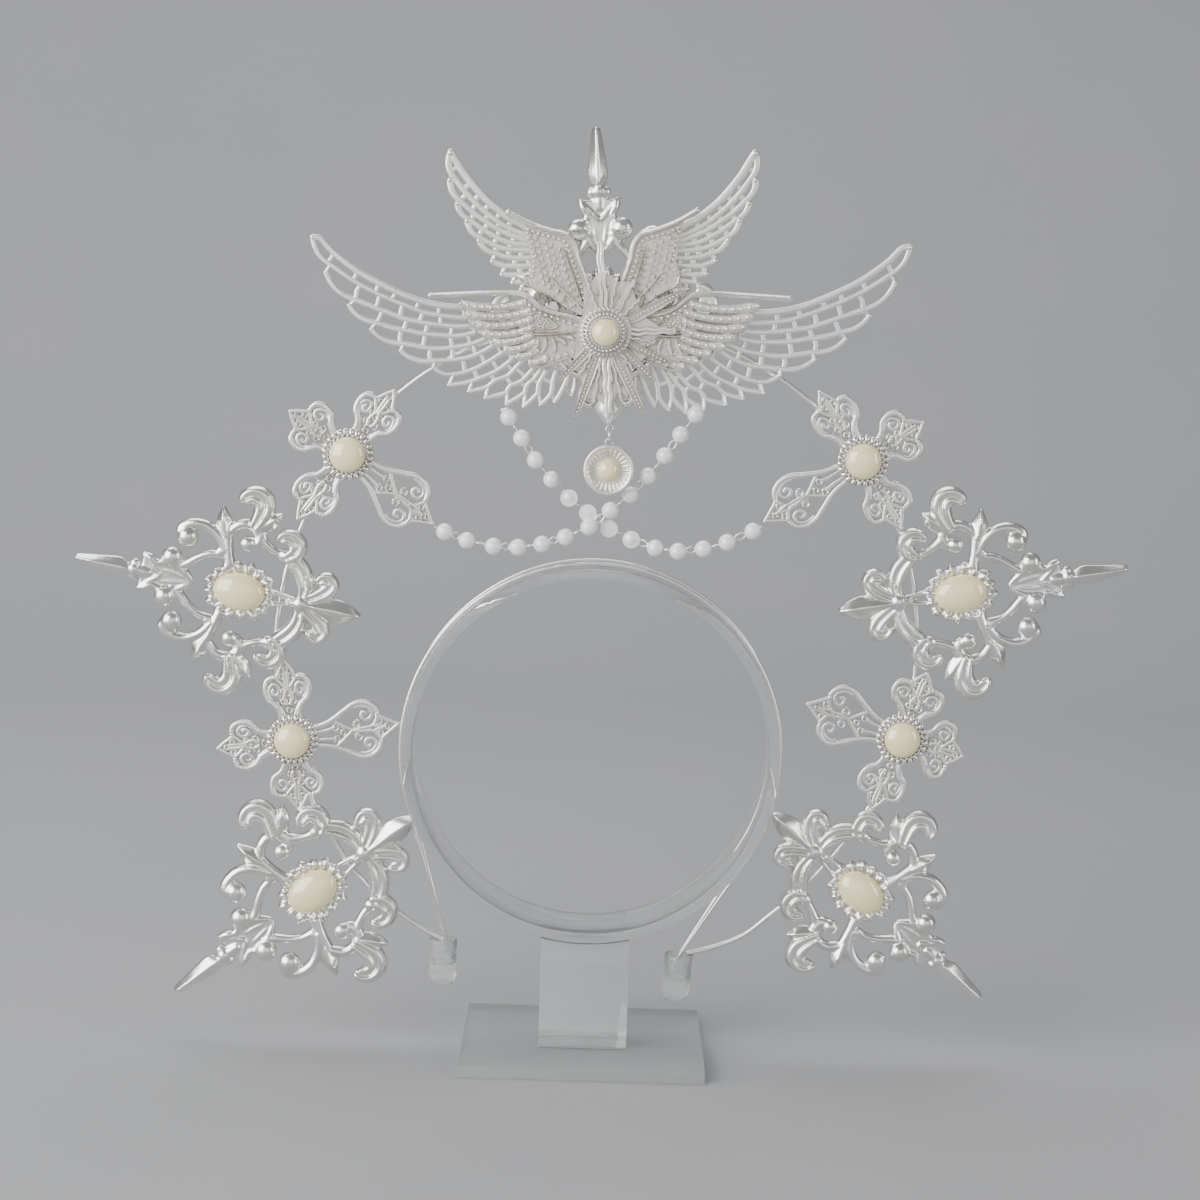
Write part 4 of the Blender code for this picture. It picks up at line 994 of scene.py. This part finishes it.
# Small drop-shaped grain, widest in its middle
def drop_shape(shape, u, v, along, wide, long, high):
    c, s = heading(along)
    rows = []
    for place, share in ((-1.0, 0.25), (-0.6, 0.85), (0.0, 1.0), (0.6, 0.7), (1.0, 0.2)):
        level = 0.5 * high + 0.5 * high * share
        rows.append((u + c * long * place, v + s * long * place, wide * share, level))
    bar(shape, rows)


def inside(outline, u, v):
    found = False
    for (a, b), (c, d) in zip(outline, outline[1:] + outline[:1]):
        if (b > v) != (d > v) and u < a + (v - b) / (d - b) * (c - a):
            found = not found
    return found


# Lower relief wing: rod, eight beaded feathers with slits between them, scaled leaf, spine, veins
LOW_ROD = (
    (-58.6, 260.9), (-43.5, 262.0), (-33.5, 262.6), (-27.4, 262.2), (-24.2, 260.1), (-21.6, 258.1),
    (-17.9, 256.6), (-11.7, 255.3), (-6.0, 253.8),
)
# Feather ends: left x and z, right x and z
LOW_FEATHERS = (
    (-48.4, 258.6, -26.2, 259.6), (-46.6, 255.2, -24.6, 256.8), (-43.8, 251.8, -24.0, 254.0),
    (-40.8, 248.6, -23.6, 251.2), (-37.4, 245.7, -23.6, 248.8), (-33.4, 243.2, -22.6, 246.4),
    (-28.8, 241.0, -21.4, 243.6), (-24.8, 239.0, -18.6, 241.2),
)
LOW_FEATHER_HALVES = (
    1.2, 1.75, 1.8, 1.62, 1.46, 1.4, 1.38, 1.36, 1.34, 1.32, 1.3, 1.28, 1.28, 1.3, 1.34, 1.36, 1.3,
)
LOW_ROOT = (
    (-26.6, 261.0), (-24.4, 259.6), (-21.4, 257.6), (-11.7, 254.8), (-4.0, 253.0), (-4.0, 245.0),
    (-7.7, 242.6), (-14.0, 240.6), (-19.0, 239.0), (-22.6, 240.0), (-25.6, 243.0), (-27.6, 247.0),
    (-28.6, 252.0),
)
LOW_BEADS = ((-25.0, 258.6), (-22.4, 256.6), (-17.2, 254.8), (-14.5, 254.0), (-9.0, 252.4))
LOW_LEAF = (
    (-25.6, 254.2), (-23.6, 256.2), (-21.4, 256.0), (-18.6, 254.4), (-15.4, 251.8), (-18.0, 250.9),
    (-21.6, 250.7), (-24.4, 251.4),
)
LOW_SPINE = (
    (-29.0, 249.6, 0.4, 1.6), (-25.0, 249.0, 0.75, 2.3), (-19.0, 249.0, 0.85, 2.7), (-13.0, 249.6, 0.6, 2.3),
    (-8.0, 250.3, 0.4, 1.8),
)
# Veins: upper end, lower end, half width
LOW_VEINS = (
    (-22.0, 247.6, -24.0, 243.0, 0.7), (-19.6, 247.8, -20.8, 242.8, 0.8), (-17.4, 247.8, -16.4, 243.0, 0.7),
    (-15.4, 247.6, -12.6, 245.8, 1.0), (-12.4, 248.4, -9.8, 247.4, 0.8),
)
LOW_EDGE = ((-24.6, 238.2), (-20.6, 238.0), (-17.5, 239.0), (-12.8, 240.9), (-7.7, 242.6), (-4.0, 245.0))
HIGH_ROD = (
    (-33.0, 289.6), (-25.5, 286.0), (-18.7, 283.9), (-13.7, 282.8), (-10.9, 280.0), (-9.0, 274.4),
    (-6.4, 268.3), (-4.6, 261.6), (-3.6, 256.0),
)
HIGH_EDGE = (
    (-28.2, 285.8), (-27.0, 281.8), (-25.6, 277.2), (-24.8, 272.6), (-25.6, 268.0), (-24.0, 264.4),
    (-18.4, 262.2), (-13.0, 258.6), (-7.4, 256.0),
)
HIGH_BEADS = (
    (-26.2, 284.0), (-22.3, 282.6), (-18.9, 281.9), (-15.0, 280.9), (-13.0, 279.2), (-11.0, 273.6),
    (-8.6, 267.5), (-6.8, 261.6),
)
HIGH_SPINES = ((-14.4, 278.0, -11.6, 270.6, -7.4, 260.2), (-19.0, 268.6, -14.6, 264.2, -6.8, 257.4))
# Fringe of small teeth below the upper wing
HIGH_FRINGE = (
    (-22.6, 262.6), (-21.6, 259.8), (-19.8, 262.6), (-18.8, 259.0), (-16.8, 262.2), (-15.4, 258.2),
    (-13.4, 261.4), (-12.0, 257.2), (-9.8, 260.0),
)


# Thick rod along the upper edge of a relief, with a knob at its outer end
def relief_rod(shape, line):
    level_bar(shape, line, 0.95, 2.6)
    ball(shape, *line[0], 1.3, 1.05, 1.0, 12, 8)


def low_relief():
    shape = Shape()
    plate(shape, LOW_ROOT, 1.0)
    relief_rod(shape, smooth(LOW_ROD, 6))
    for i, (x, z, root_x, root_z) in enumerate(LOW_FEATHERS):
        line = bow((x, z), (root_x, root_z), 0.07, 16)
        narrower = 1.0 - 0.012 * i
        bar(shape, [(u, v, half * narrower, 1.7) for (u, v), half in zip(line, LOW_FEATHER_HALVES)], FLAT)
        granules(shape, line[i % 2 : -1], 2.7, 0.72, 1.75)
    granules(shape, smooth(LOW_BEADS, 6), 2.3, 0.66, 1.5)
    leaf = smooth(LOW_LEAF + LOW_LEAF[:1], 4)
    level_bar(shape, leaf, 0.5, 2.0)
    # Grains of the leaf's scaled field, laid in a spiral
    for k in range(26):
        turn, reach = 2.4 * k, 0.52 * math.sqrt(k)
        u, v = -21.2 + reach * 1.5 * math.cos(turn), 253.2 + reach * 0.8 * math.sin(turn)
        if inside(leaf, u, v):
            ball(shape, u, v, 1.15, 0.4, 1.0, 8, 5)
    bar(shape, smooth(LOW_SPINE, 5), RIDGE)
    for x, z, end_x, end_z, half in LOW_VEINS:
        rows = []
        for k, (u, v) in enumerate(bow((x, z), (end_x, end_z), -0.12, 8)):
            rows.append((u, v, half * (0.4 + 0.6 * math.sin(math.pi * (k + 1.5) / 11)), 2.1))
        bar(shape, rows, FLAT)
    lower = smooth(LOW_EDGE, 5)
    level_bar(shape, lower, 0.62, 1.6)
    granules(shape, [between(p, (-12.0, 252.0), 0.13) for p in lower[2:-4]], 2.6, 0.62, 1.3)
    return shape


# Upper relief wing: rod, beaded border, field of small drops, two spines
def high_relief():
    shape = Shape()
    rod_line = smooth(HIGH_ROD, 6)
    border = list(reversed(HIGH_EDGE))
    plate(shape, [p for p in rod_line if p[0] > -28.6] + border, 1.0)
    relief_rod(shape, rod_line)
    beads = smooth(HIGH_BEADS, 6)
    granules(shape, beads, 1.85, 0.62, 1.4)
    granules(shape, [between(p, (-15.0, 271.0), 0.1) for p in smooth(HIGH_EDGE[:5], 4)], 1.7, 0.52, 1.2)
    field = [between(p, (-16.0, 271.0), 0.18) for p in beads + border]
    for i in range(14):
        for k in range(16):
            u, v = -34.0 + 2.15 * k + 0.7 * i, 288.0 - 2.3 * i + (1.15 if k % 2 else 0.0)
            if inside(field, u, v):
                drop_shape(shape, u, v, 84.0 + 9.0 * math.sin(3.7 * k + 2.1 * i), 0.5, 1.05, 2.0)
                ball(shape, u + 1.0, v + 0.9, 1.05, 0.32, 1.0, 6, 4)
    for x, z, mid_x, mid_z, end_x, end_z in HIGH_SPINES:
        bar(shape, smooth([(x, z, 0.3, 1.6), (mid_x, mid_z, 0.75, 2.6), (end_x, end_z, 0.85, 2.2)], 6), RIDGE)
    bar(shape, smooth([(u, v, 0.5, 1.4) for u, v in reversed(HIGH_EDGE[4:])], 4))
    level_bar(shape, HIGH_FRINGE, 0.55, 1.5)
    return shape


def build_wings():
    wing = pierced_wing(WING_RAIL, WING_FEATHERS, WING_BARS, WING_INNER, 0.88, 0.13, 6)
    upper = pierced_wing(UPPER_RAIL, UPPER_FEATHERS, UPPER_BARS, UPPER_INNER, 1.1, 0.14, 5)
    for name, shape, back, material in (
        ("wing", wing, WIRE_BACK, WING_SILVER),
        ("upper_wing", upper, WIRE_BACK, WING_SILVER),
        ("feather_low", low_relief(), FEATHER_BACK, RELIEF_SILVER),
        ("feather_high", high_relief(), FEATHER_BACK, RELIEF_SILVER),
    ):
        left = placed(shape, back=back)
        for side, form in (("_left", left), ("_right", right_copy(left, *RIGHT_TURN[name]))):
            finish_piece(name + side + "_silver", form, name + side, material, sharp=45)


# Ray with a granulated channel
def beaded_ray(length, wide):
    ray, near, far = Shape(), length * 0.4, length * 0.75
    places = ((6.5, 1.2, 1.5), (near, wide, 1.7), (far, wide * 0.76, 1.6), (length, 0.5, 1.2))
    bar(ray, smooth([(u, 0.0, half, high) for u, half, high in places], 5), CHANNEL)
    granules(ray, [(9.5, 0.0), (length * 0.9, 0.0)], 1.35, 0.46, 1.1)
    return ray


# Wavy rods side by side
def wavy_ray(length, sides, half):
    ray = Shape()
    for side in sides:
        rows = []
        for k in range(25):
            share = k / 24
            v = side * (1.0 - 0.45 * share) + 0.24 * math.sin(k * 0.8)
            rows.append((7.0 + (length - 7.0) * share, v, half, 1.9 - 0.3 * share))
        bar(ray, rows, FLAT)
    return ray


def build_burst():
    shape = turned(Shape(), [(0.0, 0.0), (9.6, 0.0), (9.6, 1.0), (0.0, 1.0)])
    web = []
    for angle, reach in BURST_WEB:
        c, s = heading(angle)
        web.append((reach * c, reach * s))
    plate(shape, web, 0.8)
    for angle, length, wide in BEADED_RAYS:
        spin(shape, beaded_ray(length, wide), angle)
    for angle, length, sides, half in WAVY_RAYS:
        spin(shape, wavy_ray(length, sides, half), angle)
    for angle, reach in WEB_DROPS:
        drop = Shape()
        drop_shape(drop, reach, 0.0, 0.0, 0.55, 1.3, 1.5)
        spin(shape, drop, angle)
    burst = placed(shape, MID_X, MID_Z, back=BURST_BACK)
    finish_piece("ray_burst", burst, "starburst", BURST_SILVER, sharp=45)


# Round bezel with toothed edge and two rings of beads, and its pearl
def build_centre():
    back = BURST_BACK - (BURST_THICK + GAP)
    r = CENTRE_BEZEL_R
    setting = turned(Shape(), [(0.0, 0.0), (r, 0.0), (r, 0.7), (r - 2.4, 1.2), (r - 3.2, 1.6), (0.0, 1.6)], 56)
    tooth, places = Shape(), ((1.7, 0.5, 1.7), (1.2, 0.6, 1.9), (0.5, 0.66, 1.7), (0.0, 0.45, 0.9))
    bar(tooth, [(r - inwards, 0.0, half, high) for inwards, half, high in places])
    for k in range(CENTRE_TEETH):
        spin(setting, tooth, 360.0 * k / CENTRE_TEETH)
    for count, radius, size, high in ((30, r - 2.5, 0.62, 1.8), (32, r - 3.6, 0.36, 2.0)):
        for c, s in around(count):
            ball(setting, radius * c, radius * s, high, size, 1.0, 8, 6)
    finish_piece("centre_setting", placed(setting, MID_X, MID_Z, back=back), "centre_bezel", SILVER, sharp=50)
    round_pearl("centre_round_pearl", "centre_pearl", CENTRE_PEARL_R, 3.4, MID_X, MID_Z, back - 2.2)


def build_drop():
    ring = Shape()
    path = [(HANG_X, HANG_Y + LINK_R * s, RING_EYE_Z + LINK_R * c) for c, s in around(32)]
    rod(ring, path, LINK_WIRE, 10, True)
    finish_piece("small_ring", ring, "jump_ring", WIRE_SILVER, body="link")
    deep = DROP_BACK - DROP_FRONT
    bed = deep - 1.6

    def milled_rim(k, radius):
        return 1.0 + (0.012 * math.cos(math.pi * k / 2.0) if radius > DROP_R - 0.6 else 0.0)

    edge = ((0.2, 0.6), (0.5, 0.15), (1.0, 0.0), (1.6, 0.4), (2.6, 1.2))
    profile = [(0.0, 0.0), (DROP_R - 0.8, 0.0), (DROP_R - 0.2, 0.5)]
    profile += [(DROP_R - inwards, deep - down) for inwards, down in edge]
    profile += [(DROP_PEARL_R + 0.7, bed), (0.0, bed)]
    dish = turned(Shape(), profile, 240, 1.0, milled_rim)
    flute = ((4.7, 0.36, 0.6), (5.7, 0.52, 0.8), (6.8, 0.6, 1.2), (7.4, 0.4, 1.4))
    for c, s in around(FLUTES):
        bar(dish, smooth([(r * c, r * s, half, high) for r, half, high in flute], 3), ROUND, bed)
    body = placed(dish, HANG_X, DROP_Z, back=DROP_BACK)
    body.join(eye(DROP_EYE_Z, DROP_EYE_Z - 2.6, 1.6))
    foot = Shape()
    bar(foot, [(HANG_X, DROP_EYE_Z - 4.6, 1.7, 1.8), (HANG_X, DROP_EYE_Z - 1.2, 1.2, 1.8)], FLAT)
    body.join(placed(foot, back=HANG_Y - 0.2))
    finish_piece("fluted_drop", body, "drop", DROP_SILVER, body="hanging_drop")
    back = DROP_FRONT + 1.3 - GAP
    round_pearl("drop_round_pearl", "drop_pearl", DROP_PEARL_R, 3.4, HANG_X, DROP_Z, back, "hanging_drop")


# White beads with open oval links between them; the right string passes behind the left one
def build_strings():
    for side, spots in STRINGS.items():
        line = []
        for i, (x, z) in enumerate(spots):
            behind = 0.0 if side == "left" else 4.6 * math.exp(-(((i - 7.6) / 2.6) ** 4))
            line.append(Vector((x, -2.0 + behind, z)))
        beads, links = Shape(), Shape()
        for place in line[1:-1]:
            ball(beads, place.x, place.z, -place.y, BEAD_R, 1.0, 24, 16)
        for i, (a, b) in enumerate(zip(line, line[1:])):
            along = (b - a).normalized()
            first = a + along * (BEAD_R - 0.15 if i else 0.0)
            last = b - along * (BEAD_R - 0.15 if i < len(line) - 2 else 0.0)
            half = (last - first).length * 0.5
            flat = Vector((along.z, 0.0, -along.x)) if i % 2 else Vector((0.0, 1.0, 0.0))
            loop = [(first + last) / 2.0 + along * (half * c) + flat * (LINK_HALF * s) for c, s in around(16)]
            rod(links, loop, LINK_THICK, 8, True)
        node = "bead_string_" + side
        finish_piece("string_of_beads_" + side, placed(beads), node, WHITE_PEARL)
        finish_piece("bead_links_" + side, links, node, WIRE_SILVER)


def leaving_angle(x, z, radius, side):
    down = math.degrees(math.atan2(z - RING_Z, x)) % 360.0
    return down + side * math.degrees(math.acos(radius / math.hypot(x, z - RING_Z)))


# Headband wire: from one cap up to the ring, over it, and down to the other cap
def band_path(spread):
    radius = RING_OUT + GAP + BAND_R
    first = leaving_angle(*BAND_ENDS[0], radius, -1.0)
    last = leaving_angle(*BAND_ENDS[1], radius, 1.0) - 360.0
    near = math.copysign(0.5, spread)
    points = [(BAND_ENDS[0][0], near, BAND_ENDS[0][1])]
    for i in range(97):
        c, s = heading(first + (last - first) * i / 96)
        points.append((radius * c, spread, RING_Z + radius * s))
    points.append((BAND_ENDS[1][0], near, BAND_ENDS[1][1]))
    return points


def build_wires():
    halo, path = Shape(), []
    for angle, radius in smooth(HALO_ANGLE_RADIUS, 14):
        c, s = heading(angle)
        path.append((HALO_X + radius * c, 0.0, HALO_Z + radius * s))
    rod(halo, path, HALO_R, 16)
    finish_piece("halo_wire_silver", halo, "halo_wire", WIRE_SILVER, sharp=40)
    band = Shape()
    for spread in (BAND_SPREAD, -BAND_SPREAD):
        rod(band, band_path(spread), BAND_R)
    for x, z in BAND_ENDS:
        rod(band, [(x, y, z) for y in (-1.2, -0.4, 0.4, 1.2)], [0.7, 0.95, 0.95, 0.7])
    finish_piece("headband_silver", band, "headband", WIRE_SILVER, sharp=40)


# Silicone cap from a rounded outside and an open pocket
def build_caps():
    inner = 1.0 - CAP_WALL / CAP_HALF_X
    pocket = ((inner + 0.02, CAP_TALL), (inner, CAP_TALL - 0.3), (inner * 0.96, CAP_POCKET + 1.0))
    pocket += ((inner * 0.8, CAP_POCKET + 0.1), (0.0, CAP_POCKET))
    cup = turned(Shape(), CAP_OUTSIDE + pocket, 40)
    for name, (x, z, lean) in CAPS.items():
        c, s = heading(lean)

        def leaning(u, v, tall):
            return x + u * CAP_HALF_X * c + tall * s, v * CAP_HALF_Y, z - u * CAP_HALF_X * s + tall * c

        finish_piece(name + "_silicone", cup.moved(leaning), name, SILICONE, sharp=50)


# Flat acrylic sheet with eased edges, extruded along y
def sheet(name, outline, back, front, node, material, holes=()):
    curve = bpy.data.curves.new(name, "CURVE")
    curve.dimensions = "2D"
    curve.fill_mode = "BOTH"
    curve.extrude = (abs(back - front) / 2.0 - SHEET_EASE) * MM
    curve.bevel_depth = SHEET_EASE * MM
    curve.bevel_resolution = 1
    curve.offset = -SHEET_EASE * MM
    for ring in (outline, *holes):
        spline = curve.splines.new("POLY")
        spline.points.add(len(ring) - 1)
        for point, (x, z) in zip(spline.points, ring):
            point.co = (x * MM, z * MM, 0.0, 1.0)
        spline.use_cyclic_u = True
    mesh = final_mesh(put_in_scene(name, curve))
    middle = (back + front) / 2.0 * MM
    mesh.transform(Matrix(((1, 0, 0, 0), (0, 0, -1, middle), (0, 1, 0, 0), (0, 0, 0, 1))))
    finish_piece(name, weld(mesh, 0.000002, False), node, material, sharp=30)


def build_stand():
    half = BASE_WIDE / 2.0
    base = [(-half, 0.0), (half, 0.0), (half, BASE_THICK), (-half, BASE_THICK)]
    sheet("base_sheet", base, BASE_DEEP / 2.0, -BASE_DEEP / 2.0, "stand_base", FROSTED)
    reach, low = RING_OUT + GAP, BASE_THICK + GAP
    saddle = [(-PLATE_HALF, low), (PLATE_HALF, low)]
    for i in range(25):
        x = PLATE_HALF - 2.0 * PLATE_HALF * i / 24
        saddle.append((x, RING_Z - math.sqrt(reach * reach - x * x)))
    for name, front in (("front", -RING_HALF), ("back", RING_HALF - PLATE_THICK)):
        sheet(name + "_sheet", saddle, front + PLATE_THICK, front, "stand_plate_" + name, ACRYLIC)
    radii = (RING_OUT, RING_OUT - RING_WALL)
    outer, inner = ([(r * c, RING_Z + r * s) for c, s in around(160)] for r in radii)
    sheet("ring_sheet", outer, RING_HALF, -RING_HALF, "stand_ring", ACRYLIC, [inner])


# Studio: pale floor that curves up into a wall, four soft panels, a dim even room
FLOOR_HALF, FLOOR_FRONT, FLOOR_BACK, SWEEP_R, WALL_TOP = 3400.0, -3000.0, 680.0, 900.0, 3000.0
# Panels in metres: place, size, power, height that they face
PANELS = {
    "window_panel": ((-1.4, -1.1, 0.8), (1.7, 1.6), 58.0, 0.17),
    "front_panel": ((0.2, -2.3, 0.6), (2.6, 1.2), 9.0, 0.2),
    "fill_panel": ((1.7, -0.9, 0.5), (0.5, 1.4), 12.0, 0.15),
    "top_panel": ((-0.2, 0.4, 1.3), (1.2, 0.7), 9.0, 0.15),
}


def build_floor():
    line = [(FLOOR_FRONT + 320.0 * k, 0.0) for k in range(12)]
    for k in range(29):
        turn = 0.5 * math.pi * k / 28
        line.append((FLOOR_BACK + SWEEP_R * math.sin(turn), SWEEP_R * (1.0 - math.cos(turn))))
    line.append((FLOOR_BACK + SWEEP_R, WALL_TOP))
    points = [(x, y, z) for y, z in line for x in (-FLOOR_HALF, FLOOR_HALF)]
    faces = [(2 * i, 2 * i + 1, 2 * i + 3, 2 * i + 2) for i in range(len(line) - 1)]
    floor = put_in_scene("pale_floor", mesh_of("floor", Shape(points, faces)))
    floor.data.shade_smooth()
    board = Board("pale_paper")
    board.set(Base_Color=board.tint(board.noise(6.0), (0.35, 0.36, 0.37), (0.39, 0.39, 0.40)), Roughness=0.8)
    floor.data.materials.append(board.material)


def build_light():
    for name, (place, size, power, aim_z) in PANELS.items():
        lamp = bpy.data.lights.new(name, "AREA")
        lamp.shape = "RECTANGLE"
        lamp.size, lamp.size_y = size
        lamp.energy = power
        holder = put_in_scene(name, lamp)
        holder.location = place
        holder.rotation_euler = (Vector(place) - Vector((0.0, 0.0, aim_z))).to_track_quat("Z", "Y").to_euler()
    world = bpy.data.worlds.new("soft_room")
    bpy.context.scene.world = world
    world.use_nodes = True
    room = world.node_tree.nodes["Background"].inputs
    room["Color"].default_value = (0.70, 0.71, 0.73, 1.0)
    room["Strength"].default_value = 0.42


# Camera at the photograph's angle: low tilt, slight roll, and the lens in pixels of the picture
CAMERA_TILT, CAMERA_ROLL, CAMERA_SHIFT = 5.146, 1.7, -0.10
CAMERA_SPOT = (0.44, -865.0, 277.36)
LENS_PIXELS, PICTURE_PIXELS, SENSOR = 2536.0, 1200.0, 36.0


def build_camera():
    tilt, roll = math.radians(CAMERA_TILT), math.radians(CAMERA_ROLL)
    ahead = Vector((0.0, math.cos(tilt), -math.sin(tilt)))
    level = Vector((0.0, math.sin(tilt), math.cos(tilt)))
    across = Vector((1.0, 0.0, 0.0))
    right = across * math.cos(roll) + level * math.sin(roll)
    up = level * math.cos(roll) - across * math.sin(roll)
    data = bpy.data.cameras.new("photo_camera")
    data.sensor_width = SENSOR
    data.lens = LENS_PIXELS / PICTURE_PIXELS * SENSOR
    data.shift_y = CAMERA_SHIFT
    data.clip_start = 0.01
    data.clip_end = 20.0
    camera = put_in_scene("photo_camera", data)
    spot = Vector(CAMERA_SPOT) * MM
    camera.matrix_world = Matrix.Translation(spot) @ Matrix((right, up, -ahead)).transposed().to_4x4()
    bpy.context.scene.camera = camera


build_camera()
build_floor()
build_light()
build_stand()
build_wires()
build_caps()
build_ornaments()
build_crosses()
build_wings()
build_burst()
build_centre()
build_drop()
build_strings()
